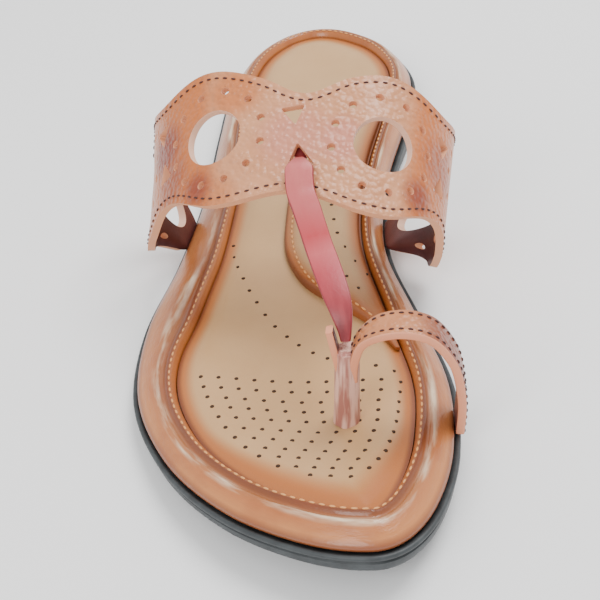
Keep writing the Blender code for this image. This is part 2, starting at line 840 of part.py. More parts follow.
def toe_post(home):
    """The folded post between the toes, an oval column that stands on the insole."""
    foot_x, foot_y = POST_FOOT
    low = insole_height(foot_x, foot_y) + POST_SEAT
    work = bmesh.new()
    bmesh.ops.create_cone(
        work, cap_ends=True, segments=POST_SIDES, radius1=0.5, radius2=0.5, depth=1.0
    )
    for vert in work.verts:
        share = vert.co.z + 0.5
        x = foot_x + (POST_HEAD[0] - foot_x) * share + vert.co.x * POST_DEPTH
        y = foot_y + (POST_HEAD[1] - foot_y) * share + vert.co.y * POST_WIDTH
        vert.co = metres((x, y, low + (POST_TOP - low) * share))
    mesh = bpy.data.meshes.new("toe_post")
    work.to_mesh(mesh)
    work.free()
    made = bpy.data.objects.new("toe_post", mesh)
    home.objects.link(made)
    return made


def toe_loop(home):
    """The loop over the big toe, one with the post that its folded end makes."""
    pieces = [
        strap("toe_loop", TOE_LOOP, (1, 0, 0), TOE_LOOP_WALL, home, GRAINED_LEATHER),
        strap("post_flap", POST_FLAP, (1, 0, 0), POST_FLAP_WALL, home, GRAINED_LEATHER),
        toe_post(home),
    ]
    for piece in pieces:
        piece.data = evaluated(piece)
        piece.modifiers.clear()
    loop = pieces[0]
    for piece in pieces[1:]:
        join = loop.modifiers.new("join", "BOOLEAN")
        join.operation = "UNION"
        join.solver = "EXACT"
        join.object = piece
    loop.data = evaluated(loop)
    loop.modifiers.clear()
    loop.data.name = "toe_loop"
    loop.data.materials.clear()
    loop.data.materials.append(material(GRAINED_LEATHER))
    for piece in pieces[1:]:
        bpy.data.objects.remove(piece, do_unlink=True)
    tidy_normals(loop)
    return loop


def main():
    clear_scene()
    home = collection("flat_sandal")
    cutters_home = collection("sandal_cutters")
    outsole(home)
    midsole(home)
    insole(home)
    arch_pad(home)
    instep_band(home, cutters_home)
    t_strap(home)
    toe_loop(home)


main()
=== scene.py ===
"""Looks of a flat leather sandal for the right foot.

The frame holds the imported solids, toe towards +X, inner side of the foot towards +Y, with the
origin on the floor under the middle of the heel. Tables and lengths named here are in
millimetres from the heel's back, as a shoemaker's pattern is, unless a comment says otherwise.
"""

import math

import bmesh
import bpy
import numpy as np
from mathutils import Matrix, Vector


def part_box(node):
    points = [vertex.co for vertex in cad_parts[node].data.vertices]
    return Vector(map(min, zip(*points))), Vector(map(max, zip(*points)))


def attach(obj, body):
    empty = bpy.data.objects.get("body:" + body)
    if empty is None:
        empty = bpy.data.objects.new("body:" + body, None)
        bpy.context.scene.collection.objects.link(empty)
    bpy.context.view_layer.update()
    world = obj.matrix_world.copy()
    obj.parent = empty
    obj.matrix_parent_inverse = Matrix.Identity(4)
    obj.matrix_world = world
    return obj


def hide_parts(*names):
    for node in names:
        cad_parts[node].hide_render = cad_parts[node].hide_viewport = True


bl_info = {
    "name": "Flat Sandal",
    "version": (1, 0, 0),
    "blender": (4, 5, 0),
    "location": "View3D > Sidebar > Sandal",
    "description": "Builds the leather, rubber and stitching of a flat sandal",
    "category": "Add Mesh",
}

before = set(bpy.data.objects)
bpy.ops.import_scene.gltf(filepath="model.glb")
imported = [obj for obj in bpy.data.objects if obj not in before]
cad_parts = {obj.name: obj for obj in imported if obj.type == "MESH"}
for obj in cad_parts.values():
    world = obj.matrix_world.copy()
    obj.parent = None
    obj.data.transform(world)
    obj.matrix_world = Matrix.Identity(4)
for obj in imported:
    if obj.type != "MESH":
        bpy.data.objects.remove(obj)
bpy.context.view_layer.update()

MM = 0.001
SOLE_LOW, SOLE_HIGH = (list(corner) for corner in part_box("outsole"))
LENGTH = (SOLE_HIGH[0] - SOLE_LOW[0]) / MM
HEEL_BACK = SOLE_LOW[0]
BODY = "root"

# Outline of the outsole. Columns: from the heel, outer reach, inner reach.
OUTLINE = (
    (0.0, 0.0, 0.0),
    (7.5, 16.9, 16.6),
    (20.0, 25.0, 26.9),
    (40.0, 29.6, 33.3),
    (70.0, 30.7, 31.3),
    (105.0, 31.3, 25.5),
    (137.5, 34.7, 24.8),
    (165.0, 39.6, 32.2),
    (190.0, 38.5, 39.0),
    (215.0, 28.3, 39.7),
    (235.0, 11.6, 35.6),
    (246.0, -5.4, 29.5),
    (250.0, -21.2, 21.2),
)
# Columns: from the heel, bead's height, ridge's height, rim's width outside and inside.
SIDE = (
    (0.0, 7.0, 14.0, 9.5, 9.5),
    (35.0, 7.0, 14.0, 8.5, 7.5),
    (75.0, 6.6, 13.8, 9.5, 6.5),
    (115.0, 6.0, 12.6, 11.5, 6.0),
    (145.0, 5.5, 11.2, 13.2, 6.5),
    (165.0, 5.2, 10.2, 13.6, 7.5),
    (180.0, 5.0, 9.8, 11.2, 8.2),
    (200.0, 5.0, 9.5, 9.6, 8.6),
    (250.0, 5.0, 9.5, 9.2, 9.2),
)
ARCH_FROM, ARCH_TOP, ARCH_TO, ARCH_LIFT = 70.0, 105.0, 138.0, 2.4
SPRING_FROM, TOE_SPRING = 175.0, 8.0
STATIONS = 110

# Side of the outsole, from its bottom edge up. Columns: inset, share of the bead's height,
# further height.
OUTSOLE_SIDE = (
    (6.0, 0.0, 0.0),
    (2.0, 0.0, 0.0),
    (1.1, 0.0, 0.25),
    (0.7, 0.0, 0.9),
    (0.5, 0.5, -0.6),
    (0.45, 1.0, -2.2),
    (0.8, 1.0, -1.95),
    (1.1, 1.0, -1.7),
    (0.8, 1.0, -1.45),
    (0.25, 1.0, -1.2),
    (0.0, 1.0, -0.9),
    (0.0, 1.0, -0.5),
    (0.2, 1.0, -0.15),
    (0.6, 1.0, 0.0),
    (1.3, 1.0, -0.3),
    (2.6, 1.0, -1.4),
)
# The rim, from under its lower edge up over its shoulder to the stitched ridge and down inside.
# Columns: share of the rim's width, further inset, share of the rise, further height.
RIM = (
    (0.0, 3.2, 0.0, -1.1),
    (0.0, 2.0, 0.0, -0.2),
    (0.0, 1.5, 0.06, 0.1),
    (0.0, 1.5, 0.18, 0.6),
    (0.10, 1.6, 0.33, 0.8),
    (0.25, 1.4, 0.52, 0.8),
    (0.42, 1.0, 0.68, 0.8),
    (0.56, 0.8, 0.79, 0.75),
    (0.64, 0.6, 0.85, 0.45),
    (0.70, 0.5, 0.86, 0.0),
    (0.78, 0.3, 0.88, -0.05),
    (0.85, 0.1, 0.93, 0.2),
    (0.91, 0.0, 0.99, 0.2),
    (0.96, 0.0, 1.0, 0.1),
    (1.0, 0.1, 1.0, -0.25),
    (1.0, 0.55, 1.0, -0.9),
    (1.0, 1.0, 1.0, -1.7),
)
RECESS, INSOLE_SEAT, GAP = 3.6, 0.45, 0.3
RIDGE_INSET = 1.0
# Top of the sock by distance in from its edge. Columns: distance, height over the ridge.
PILLOW = (
    (0.0, -1.9),
    (1.0, -1.75),
    (2.5, -1.65),
    (6.0, -0.9),
    (11.0, -1.1),
    (20.0, -1.9),
    (40.0, -2.4),
)
# Inner edge of the arch pad. Columns: from the heel, place across.
ARCH_PAD = (
    (72.0, 20.5),
    (84.0, 9.0),
    (102.0, -1.0),
    (126.0, -4.0),
    (146.0, -2.0),
    (156.0, 3.0),
    (166.0, 12.5),
    (174.0, 20.5),
    (182.0, 26.0),
)
ARCH_PAD_RISE, ARCH_PAD_EDGE, ARCH_PAD_SEAT = 3.4, 0.9, 0.35
ARCH_PAD_END, ARCH_PAD_END_SHARE = 22.0, 0.1
# Columns: share of the pad's width, share of its rise.
ARCH_PAD_SECTION = (
    (0.0, 0.0),
    (0.015, 0.3),
    (0.05, 0.6),
    (0.1, 0.78),
    (0.18, 0.94),
    (0.28, 1.0),
    (0.5, 1.0),
    (0.75, 0.85),
    (0.92, 0.5),
    (1.0, 0.0),
)

# The instep panel bends over a cone whose point lies ahead of the toe.
CONE_POINT = np.array((411.0, -4.0, -100.0))
CONE_REACH = 301.0
# Columns: place across, height.
PANEL_LINE = (
    (-40.0, 5.5),
    (-38.8, 15.5),
    (-36.0, 25.0),
    (-32.2, 34.6),
    (-25.0, 42.9),
    (-14.5, 48.6),
    (-3.5, 50.4),
    (5.0, 50.6),
    (15.5, 50.2),
    (26.7, 48.0),
    (35.0, 41.6),
    (39.8, 32.4),
    (40.0, 22.8),
    (37.8, 13.5),
    (34.5, 5.5),
)
CREST_ACROSS = 5.0
PANEL_WALL = 2.0
# Columns: name, place along the panel from the crest, forward shift, radius, turn of its ring.
MEDALLIONS = (
    ("lower_outer", -56.5, -11.0, 18.6, 0.0),
    ("upper_outer", -20.9, -3.6, 19.0, -13.0),
    ("upper_inner", 21.5, 1.3, 19.0, -8.0),
    ("lower_inner", 58.5, -3.2, 18.6, 0.0),
)
LARGE_HOLE_RADIUS, RING_RADIUS, RING_HOLES, SMALL_HOLE_RADIUS = 7.4, 12.8, 12, 1.05
# Columns: name, place along the panel, forward shift, turn.
JOINS = (
    ("outer_side", -38.8, -7.3, 0.0),
    ("crest", 0.3, -1.0, -7.0),
    ("inner_side", 40.3, -0.5, 0.0),
)
NECK_HALF = 14.8
REAR_DIP, REAR_DIP_AT, REAR_DIP_HALF_WIDTH = 2.6, 2.5, 11.0
CUTOUT_NEAR, CUTOUT_FAR, CUTOUT_HALF_WIDTH = 2.4, 7.8, 3.0
SLIT_FAR, SLIT_HALF_WIDTH = 9.2, 3.6
LAST_REACH, CORNER_POWER = 11.4, 3.2
TUCK_LENGTH, TUCK_FULL, TUCK_NONE = 14.0, 6.0, 15.0
TUCK_OUT, TUCK_UP = -0.1, 0.7
TWIST, TWIST_FROM, TWIST_FULL = 0.1, -36.0, -60.0

# The T-strap, first over the panel. Columns: along the panel, forward, out, width.
T_STRAP_START = (
    (0.5, -1.0, -2.3, 5.4),
    (1.0, 2.4, -2.4, 4.2),
    (1.2, 4.8, -1.9, 1.8),
    (1.25, 6.0, 0.0, 1.8),
    (1.3, 6.9, 1.8, 2.8),
    (1.4, 8.8, 2.4, 6.2),
    (1.5, 12.0, 2.3, 6.8),
    (1.8, 15.0, 2.1, 6.8),
)
# Then free. Columns: from the heel, across, height, width.
T_STRAP_RUN = (
    (171.0, 7.9, 43.5, 6.7),
    (178.0, 9.6, 42.7, 6.5),
    (185.0, 11.3, 42.0, 6.4),
    (191.0, 13.0, 40.8, 6.4),
    (196.0, 14.5, 39.3, 6.2),
    (199.6, 15.6, 37.6, 5.6),
    (202.3, 16.3, 35.4, 4.4),
    (204.0, 16.6, 33.0, 3.0),
    (204.8, 16.6, 31.0, 2.2),
)
T_STRAP_WALL = 1.5
TOE_LOOP = (
    (206.1, 17.4, 22.0, 4.6),
    (206.3, 18.5, 28.5, 5.0),
    (206.5, 20.3, 32.6, 5.6),
    (206.6, 23.8, 35.2, 7.4),
    (206.6, 28.8, 36.0, 8.0),
    (206.7, 34.6, 34.2, 8.0),
    (206.7, 38.9, 28.0, 8.0),
    (206.7, 40.6, 18.0, 8.0),
    (206.7, 39.8, 7.2, 8.0),
)
TOE_LOOP_WALL = 2.0
POST_FOOT, POST_HEAD = (206.4, 14.8), (205.8, 16.8)
POST_SEAT, POST_WIDTH, POST_DEPTH = 0.3, 5.6, 6.0


def srgb(text):
    """An sRGB hex colour as linear red, green, blue and alpha."""
    parts = [int(text[k:k + 2], 16) / 255 for k in (1, 3, 5)]
    linear = [c / 12.92 if c <= 0.04045 else ((c + 0.055) / 1.055) ** 2.4 for c in parts]
    return (*linear, 1.0)


class SandalSizes(bpy.types.PropertyGroup):
    """Sizes that a user would change."""

    ridge_pitch: bpy.props.FloatProperty(
        name="Ridge stitch pitch", description="From one ridge stitch to the next",
        default=2.3 * MM, unit="LENGTH",
    )
    band_pitch: bpy.props.FloatProperty(
        name="Band stitch pitch", description="From one stitch of the band to the next",
        default=2.4 * MM, unit="LENGTH",
    )
    band_margin: bpy.props.FloatProperty(
        name="Band stitch margin", description="From the band's edge to its stitches",
        default=1.9 * MM, unit="LENGTH",
    )
    thread: bpy.props.FloatProperty(
        name="Thread", description="Thickness of the sewing thread",
        default=0.55 * MM, unit="LENGTH",
    )
    pinhole: bpy.props.FloatProperty(
        name="Pinhole", description="Radius of the sock's perforations",
        default=0.52 * MM, unit="LENGTH",
    )


class SandalColours(bpy.types.PropertyGroup):
    """Colours that a user would change."""

    sock: bpy.props.FloatVectorProperty(
        name="Sock", description="Smooth leather underfoot", subtype="COLOR", size=4,
        default=srgb("#c49a6a"),
    )
    grained: bpy.props.FloatVectorProperty(
        name="Grained leather", description="Pebbled leather of the band", subtype="COLOR",
        size=4, default=srgb("#cf8f66"),
    )
    cherry: bpy.props.FloatVectorProperty(
        name="Cherry leather", description="Smooth leather of the T-strap", subtype="COLOR",
        size=4, default=srgb("#b8464c"),
    )


def add(tree, kind, inputs=(), stops=(), **settings):
    """Adds a node. Settings are its properties; inputs gives a value or a link by socket.

    Stops are the places and hex colours of a colour ramp.
    """
    made = tree.nodes.new(kind)
    for k, (spot, colour) in enumerate(stops):
        marks = made.color_ramp.elements
        mark = marks[k] if k < 2 else marks.new(spot)
        mark.position = spot
        mark.color = srgb(colour)
    for key, value in settings.items():
        setattr(made, key, value)
    for key, value in dict(inputs).items():
        if isinstance(value, bpy.types.NodeSocket):
            tree.links.new(value, made.inputs[key])
        else:
            made.inputs[key].default_value = value
    return made


def smooth(xs, ys, at):
    """A smooth curve through the points (xs, ys), read at the places in at."""
    xs, ys = np.asarray(xs, float), np.asarray(ys, float)
    at = np.clip(np.asarray(at, float), xs[0], xs[-1])
    steps = np.diff(xs)
    rises = np.diff(ys) / steps
    slopes = np.empty(len(xs))
    slopes[1:-1] = (steps[1:] * rises[:-1] + steps[:-1] * rises[1:]) / (steps[:-1] + steps[1:])
    slopes[0] = 1.5 * rises[0] - 0.5 * slopes[1]
    slopes[-1] = 1.5 * rises[-1] - 0.5 * slopes[-2]
    left = np.clip(np.searchsorted(xs, at) - 1, 0, len(steps) - 1)
    width = steps[left]
    t = (at - xs[left]) / width
    return (
        (1 + 2 * t) * (1 - t) ** 2 * ys[left]
        + t * (1 - t) ** 2 * width * slopes[left]
        + t * t * (3 - 2 * t) * ys[left + 1]
        - t * t * (1 - t) * width * slopes[left + 1]
    )


def column(table, index):
    return [row[index] for row in table]


def read(table, index, at):
    return smooth(column(table, 0), column(table, index), at)


def finer(table, steps):
    """A table with smooth rows added between its rows."""
    at = np.linspace(0, len(table) - 1, (len(table) - 1) * steps + 1)
    knots = np.arange(len(table))
    return np.stack([smooth(knots, column(table, k), at) for k in range(len(table[0]))], axis=1)


def ease(t):
    t = np.clip(t, 0.0, 1.0)
    return t * t * (3 - 2 * t)


def turn_of(from_heel):
    return np.arccos(np.clip(1 - 2 * np.asarray(from_heel, float) / LENGTH, -1, 1))


def outline(turns, side):
    """Points of the outsole's outline; side is 1 for the outer edge and 2 for the inner."""
    reach = smooth(turn_of(column(OUTLINE, 0)), column(OUTLINE, side), turns)
    return np.stack([LENGTH * (1 - np.cos(turns)) / 2, reach if side == 2 else -reach], axis=-1)


def toe_lift(x):
    share = np.clip((np.asarray(x, float) - SPRING_FROM) / (LENGTH - SPRING_FROM), 0, 1)
    return TOE_SPRING * share ** 2


def underside(x):
    x = np.asarray(x, float)
    rise = ease((x - ARCH_FROM) / (ARCH_TOP - ARCH_FROM))
    fall = ease((ARCH_TO - x) / (ARCH_TO - ARCH_TOP))
    return ARCH_LIFT * np.minimum(rise, fall) + toe_lift(x)


def bead_height(x):
    return read(SIDE, 1, x) + toe_lift(x)


def ridge_height(x):
    return read(SIDE, 2, x) + toe_lift(x)


STEPS = np.linspace(0, math.pi, STATIONS + 1)
EDGE = np.concatenate([outline(STEPS, 2), outline(STEPS[-2:0:-1], 1)])
AROUND = len(EDGE)


def inward(loop):
    along = np.roll(loop, -1, axis=0) - np.roll(loop, 1, axis=0)
    along /= np.linalg.norm(along, axis=1)[:, None]
    return np.stack([along[:, 1], -along[:, 0]], axis=1)


INWARD = inward(EDGE)
RIM_WIDTH = np.concatenate([
    read(SIDE, 4, EDGE[: STATIONS + 1, 0]),
    read(SIDE, 3, EDGE[STATIONS + 1 :, 0]),
])


def inset_loop(inset):
    return EDGE + INWARD * np.broadcast_to(inset, AROUND)[:, None]


def with_height(plan, height):
    return np.concatenate([plan, np.broadcast_to(height, len(plan))[:, None]], axis=1)


def metres(points):
    """From millimetres off the heel's back to the frame's metres."""
    return np.asarray(points, float) * MM + (HEEL_BACK, 0.0, 0.0)


def distance(points, path, closed=True):
    """Distance of each plan point from a path of plan points."""
    starts = path if closed else path[:-1]
    steps = (np.roll(path, -1, axis=0) if closed else path[1:])[: len(starts)] - starts
    best = np.full(len(points), np.inf)
    for start, step in zip(starts, steps):
        to = points - start
        share = np.clip(to @ step / max(step @ step, 1e-12), 0, 1)
        best = np.minimum(best, np.hypot(*(to - share[:, None] * step).T))
    return best


SOCK_EDGE = inset_loop(RIM_WIDTH + RIDGE_INSET + GAP)


def sock_height(points):
    """Top of the sock at plan points."""
    points = np.asarray(points, float)
    return ridge_height(points[:, 0]) + read(PILLOW, 1, distance(points, SOCK_EDGE))


def linked(name, mesh, finishes):
    """A new object at the origin, with its materials."""
    made = bpy.data.objects.new(name, mesh)
    bpy.context.scene.collection.objects.link(made)
    for finish in finishes:
        mesh.materials.append(finish)
    return made


def surface(name, points, faces, finishes, sharp=50.0):
    """A smooth-shaded mesh object from millimetre points, its faces turned outwards."""
    mesh = bpy.data.meshes.new(name)
    mesh.from_pydata([tuple(p) for p in metres(points)], [], faces)
    made = linked(name, mesh, finishes)
    face_out(mesh)
    mesh.shade_smooth()
    mesh.set_sharp_from_angle(angle=math.radians(sharp))
    return made


def face_out(mesh):
    work = bmesh.new()
    work.from_mesh(mesh)
    bmesh.ops.recalc_face_normals(work, faces=work.faces)
    if work.calc_volume(signed=True) < 0:
        bmesh.ops.reverse_faces(work, faces=work.faces)
    work.to_mesh(mesh)
    work.free()


def paint(mesh, name, values):
    """Keeps one number, or one vector, for each point of the mesh."""
    values = np.asarray(values, float)
    kind = "FLOAT" if values.ndim == 1 else "FLOAT_VECTOR"
    layer = mesh.attributes.new(name, kind, "POINT")
    layer.data.foreach_set("value" if values.ndim == 1 else "vector", values.ravel())


def belongs(piece, slot, *nodes):
    """Rides on the sandal's body and stands for its solids."""
    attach(piece, BODY)
    if nodes:
        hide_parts(*nodes)
    return piece


def across_faces(low, high, shares, count):
    """Quads and end triangles between rows of points across the shoe."""
    faces = []
    for row, after in zip(high[:-1], high[1:]):
        for k in range(count - 1):
            faces.append((row[k], row[k + 1], after[k + 1], after[k]))
    for k in range(count - 1):
        faces.append((low, high[0][k + 1], high[0][k]))
        faces.append((low + STATIONS, high[-1][k], high[-1][k + 1]))
    return faces


def stacked(loops, shares=(0.0, 1.0), height=None):
    """Points and faces of a closed solid from stacked loops, its top read from height."""
    points = np.concatenate(loops)
    faces = []
    for level in range(len(loops) - 1):
        for k in range(AROUND):
            after = (k + 1) % AROUND
            low, high = level * AROUND, (level + 1) * AROUND
            faces.append((low + k, low + after, high + after, high + k))
    for start, across in ((0, (0.0, 1.0)), ((len(loops) - 1) * AROUND, shares)):
        extra, rows = [], []
        for station in range(1, STATIONS):
            outer, inner = start + AROUND - station, start + station
            row = [outer]
            for share in across[1:-1]:
                row.append(len(points) + len(extra))
                extra.append(points[outer] * (1 - share) + points[inner] * share)
            rows.append(row + [inner])
        if extra:
            extra = np.array(extra)
            if height:
                extra[:, 2] = height(extra[:, :2])
            points = np.concatenate([points, extra])
        faces += across_faces(start, rows, across, len(across))
    return points, faces


def wrapped(count):
    """For each point of stacked loops, a place around the sole that has no seam, in metres."""
    steps = np.linalg.norm(np.roll(EDGE, -1, axis=0) - EDGE, axis=1)
    turn = 2 * math.pi * np.concatenate([[0], np.cumsum(steps)[:-1]]) / steps.sum()
    radius = steps.sum() * MM / (2 * math.pi)
    one = np.stack([radius * np.cos(turn), radius * np.sin(turn), np.zeros(AROUND)], axis=1)
    return np.tile(one, (count, 1))


def panel_line():
    rows = np.array(PANEL_LINE)
    chords = np.concatenate([[0], np.cumsum(np.linalg.norm(np.diff(rows, axis=0), axis=1))])
    at = np.linspace(0, chords[-1], 800)
    y, z = smooth(chords, rows[:, 0], at), smooth(chords, rows[:, 1], at)
    px, py, pz = CONE_POINT
    x = px - np.sqrt(CONE_REACH ** 2 - (y - py) ** 2 - (z - pz) ** 2)
    line = np.stack([x, y, z], axis=1)
    along = np.concatenate([[0], np.cumsum(np.linalg.norm(np.diff(line, axis=0), axis=1))])
    upper = line[:, 2] > line[:, 2].max() / 2
    return along - np.interp(CREST_ACROSS, y[upper], along[upper]), line


PANEL_ALONG, PANEL_POINTS = panel_line()


def on_line(along):
    return np.stack([np.interp(along, PANEL_ALONG, PANEL_POINTS[:, k]) for k in range(3)], axis=-1)


def over_instep(along, forward, out):
    """Where points of the flat panel lie once it is bent over the cone."""
    at = on_line(along)
    run = on_line(along + 0.8) - on_line(along - 0.8)
    ahead = CONE_POINT - at
    face = np.cross(ahead, run)
    face /= np.linalg.norm(face, axis=-1, keepdims=True)
    shrink = (1 - np.asarray(forward, float) / CONE_REACH)[..., None]
    return CONE_POINT + (at - CONE_POINT) * shrink + face * np.asarray(out, float)[..., None]


def medallion_shift(along):
    return smooth(column(MEDALLIONS, 1), column(MEDALLIONS, 2), along)


def panel_reach(along):
    """Half the panel's width, from neck to medallion and rounded off at its two ends."""
    name, middle, _, radius, _ = min(MEDALLIONS, key=lambda row: abs(row[1] - along))
    away = along - middle
    outer_end = name == MEDALLIONS[0][0] and away < 0
    inner_end = name == MEDALLIONS[-1][0] and away > 0
    if outer_end or inner_end:
        return radius * max(1 - (abs(away) / LAST_REACH) ** CORNER_POWER, 0.0) ** (1 / CORNER_POWER)
    neck = min(JOINS, key=lambda row: abs(row[1] - along))
    share = min(abs(away) / abs(neck[1] - middle), 1.0)
    return NECK_HALF + (radius - NECK_HALF) * (0.5 + 0.5 * math.cos(math.pi * share))


def rear_dip(along):
    away = min(abs(along - REAR_DIP_AT) / REAR_DIP_HALF_WIDTH, 1.0)
    return REAR_DIP * (0.5 + 0.5 * math.cos(math.pi * away))


PANEL_START = MEDALLIONS[0][1] - LAST_REACH
PANEL_END = MEDALLIONS[-1][1] + LAST_REACH


def sole_edge(x, side):
    turns = turn_of(x)
    return outline(turns, 2 if side > 0 else 1)[..., 1]


def tucked(along, forward, out):
    """Points of the bent panel, drawn in to the sole near its stitched ends."""
    along, forward, out = (np.atleast_1d(np.asarray(v, float)) for v in (along, forward, out))
    from_middle = forward - medallion_shift(along)
    twist = TWIST * ease((along - TWIST_FROM) / (TWIST_FULL - TWIST_FROM))
    points = np.empty((len(along), 3))
    for side, last in ((1, PANEL_END), (-1, PANEL_START)):
        mine = (along > 0) if side > 0 else (along <= 0)
        pull = ease(1 - np.abs(last - along[mine]) / TUCK_LENGTH)
        pull = pull * ease((TUCK_NONE - np.abs(from_middle[mine])) / (TUCK_NONE - TUCK_FULL))
        lift = out[mine] + twist[mine] * from_middle[mine] * (1 - pull)
        bent = over_instep(along[mine], forward[mine], lift)
        foot = over_instep(np.full(mine.sum(), last), forward[mine], np.zeros(mine.sum()))
        edge = sole_edge(foot[:, 0], side) + side * TUCK_OUT
        seat = np.stack([foot[:, 0], edge, bead_height(foot[:, 0]) + TUCK_UP], axis=1)
        points[mine] = bent + (seat - foot) * pull[:, None]
    return points


def panel_outline(count=420):
    """The flat panel's outline as one closed path, front edge first."""
    even = np.linspace(0, 1, count)
    along = PANEL_START + (PANEL_END - PANEL_START) * (1 - np.cos(math.pi * even)) / 2
    reach = np.array([panel_reach(a) for a in along])
    shift = medallion_shift(along)
    dip = np.array([rear_dip(a) for a in along])
    front = np.stack([along, shift + reach], axis=1)
    rear = np.stack([along, shift - np.maximum(reach - dip, 0)], axis=1)[-2:0:-1]
    return np.concatenate([front, rear])


def grid_solid(lower, upper, across):
    """Points and faces of a closed slab between two grids of points given row after row."""
    rows, count = len(lower) // across, len(lower)
    faces = []
    for r in range(rows - 1):
        for c in range(across - 1):
            a = r * across + c
            faces.append((a, a + 1, a + across + 1, a + across))
            faces.append((a + count, a + count + across, a + count + across + 1, a + count + 1))
    rim = list(range(across))
    rim += [r * across + across - 1 for r in range(1, rows)]
    rim += [(rows - 1) * across + c for c in range(across - 2, -1, -1)]
    rim += [r * across for r in range(rows - 2, 0, -1)]
    for a, b in zip(rim, rim[1:] + rim[:1]):
        faces.append((b, a, a + count, b + count))
    return np.concatenate([lower, upper]), faces


ARCH_FAR = inset_loop(RIM_WIDTH + RIDGE_INSET + 2.2 * GAP)[1:STATIONS]


def arch_sides(x):
    return read(ARCH_PAD, 1, x), np.interp(x, ARCH_FAR[:, 0], ARCH_FAR[:, 1])


def arch_top(points):
    """Top of the arch cushion at plan points."""
    x, y = np.asarray(points, float).T
    near, far = arch_sides(x)
    share = np.clip((y - near) / (far - near), 0, 1)
    rise = np.interp(share, column(ARCH_PAD_SECTION, 0), column(ARCH_PAD_SECTION, 1))
    first, last = ARCH_PAD[0][0], ARCH_PAD[-1][0]
    ends = ease(np.minimum(x - first, last - x) / ARCH_PAD_END + ARCH_PAD_END_SHARE)
    seat = sock_height(points) + ARCH_PAD_SEAT
    return seat + ARCH_PAD_EDGE + (ARCH_PAD_RISE - ARCH_PAD_EDGE) * rise * ends


def strap_ring(width, wall, rounding):
    """Cross-section of a strap, from the middle of one cut edge round."""
    ring = []
    for corner, (a, b) in enumerate(((1, 1), (-1, 1), (-1, -1), (1, -1))):
        for k in range(4):
            turn = math.pi / 2 * (corner + k / 3)
            ring.append((
                a * (width / 2 - rounding) + rounding * math.cos(turn),
                b * (wall / 2 - rounding) + rounding * math.sin(turn),
            ))
    return ring


def strap_path(table, step):
    """Even points along a strap's middle line, their widths and distances from the start."""
    rows = np.array(table, float)
    chords = np.concatenate([[0], np.cumsum(np.linalg.norm(np.diff(rows[:, :3], axis=0), axis=1))])
    at = np.linspace(0, chords[-1], int(chords[-1] / step) + 2)
    path = np.stack([smooth(chords, rows[:, k], at) for k in range(3)], axis=1)
    return path, smooth(chords, rows[:, 3], at), at


def strap_frame(path, broad):
    """The way the strap runs, the way its face spreads and the way its face looks."""
    along = np.gradient(path, axis=0)
    along /= np.linalg.norm(along, axis=1)[:, None]
    spread = np.array(broad, float) - along * (along @ np.array(broad, float))[:, None]
    spread /= np.linalg.norm(spread, axis=1)[:, None]
    return along, spread, np.cross(spread, along)


def strap_solid(table, broad, wall, step=0.8, rounding=0.45):
    """Points, faces, face kinds (0 outer, 1 inner, 2 cut edge) and flat places of a strap."""
    path, width, at = strap_path(table, step)
    _, spread, look = strap_frame(path, broad)
    points, flat, faces, kinds = [], [], [], []
    for p, s, n, w, d in zip(path, spread, look, width, at):
        for a, b in strap_ring(w, wall, rounding):
            points.append(p + s * a + n * b)
            flat.append((d, a, b))
    sides = 16
    for k in range(len(path) - 1):
        for j in range(sides):
            near, after = k * sides + j, k * sides + (j + 1) % sides
            faces.append((near, after, after + sides, near + sides))
            kinds.append(0 if j in (2, 3, 4) else 1 if j in (10, 11, 12) else 2)
    last = (len(path) - 1) * sides
    faces.append(tuple(range(sides))[::-1])
    faces.append(tuple(last + j for j in range(sides)))
    kinds += [2, 2]
    return np.array(points), faces, kinds, np.array(flat)


def post_solid():
    """The folded toe post, an oval column that stands on the sock."""
    foot = np.array(POST_FOOT)
    head = np.array(POST_HEAD)
    low = float(sock_height([foot])[0]) + POST_SEAT
    levels, sides = 26, 28
    top = 29.4
    points, flat, faces = [], [], []
    for level in range(levels):
        share = level / (levels - 1)
        middle = foot + (head - foot) * share
        # A folded post is a little fuller at its foot, and pinched under the V.
        full = 1.0 + 0.10 * (1 - share) ** 3 - 0.07 * ease((share - 0.7) / 0.3)
        for j in range(sides):
            turn = 2 * math.pi * j / sides
            fold = 1 + 0.035 * math.cos(6 * turn + 0.8)
            x = middle[0] + 0.5 * POST_DEPTH * full * fold * math.cos(turn)
            y = middle[1] + 0.5 * POST_WIDTH * full * fold * math.sin(turn)
            points.append((x, y, low + (top - low) * share))
            flat.append(((top - low) * share, 3 * math.cos(turn), 3 * math.sin(turn)))
    for level in range(levels - 1):
        for j in range(sides):
            near, after = level * sides + j, level * sides + (j + 1) % sides
            faces.append((near, after, after + sides, near + sides))
    faces.append(tuple(range(sides))[::-1])
    faces.append(tuple((levels - 1) * sides + j for j in range(sides)))
    return np.array(points), faces, [3] * len(faces), np.array(flat)


def material(name, colour=None, rough=0.5, bump=None, **settings):
    """A new material. Colour and bump are functions that add nodes and return a socket."""
    made = bpy.data.materials.new(name)
    made.use_nodes = True
    tree = made.node_tree
    shader = next(n for n in tree.nodes if n.type == "BSDF_PRINCIPLED")
    shader.inputs["Roughness"].default_value = rough if isinstance(rough, float) else 0.5
    for key, value in settings.items():
        shader.inputs[key.replace("_", " ")].default_value = value
    if callable(colour):
        tree.links.new(colour(tree), shader.inputs["Base Color"])
    elif colour:
        shader.inputs["Base Color"].default_value = srgb(colour)
    if callable(rough):
        tree.links.new(rough(tree), shader.inputs["Roughness"])
    if bump:
        tree.links.new(bump(tree), shader.inputs["Normal"])
    return made


def place(tree, name=""):
    """The painted place called name, or the object's own coordinates."""
    if name:
        return add(tree, "ShaderNodeAttribute", attribute_name=name).outputs["Vector"]
    return add(tree, "ShaderNodeTexCoord").outputs["Object"]


def painted(tree, name):
    return add(tree, "ShaderNodeAttribute", attribute_name=name).outputs["Fac"]


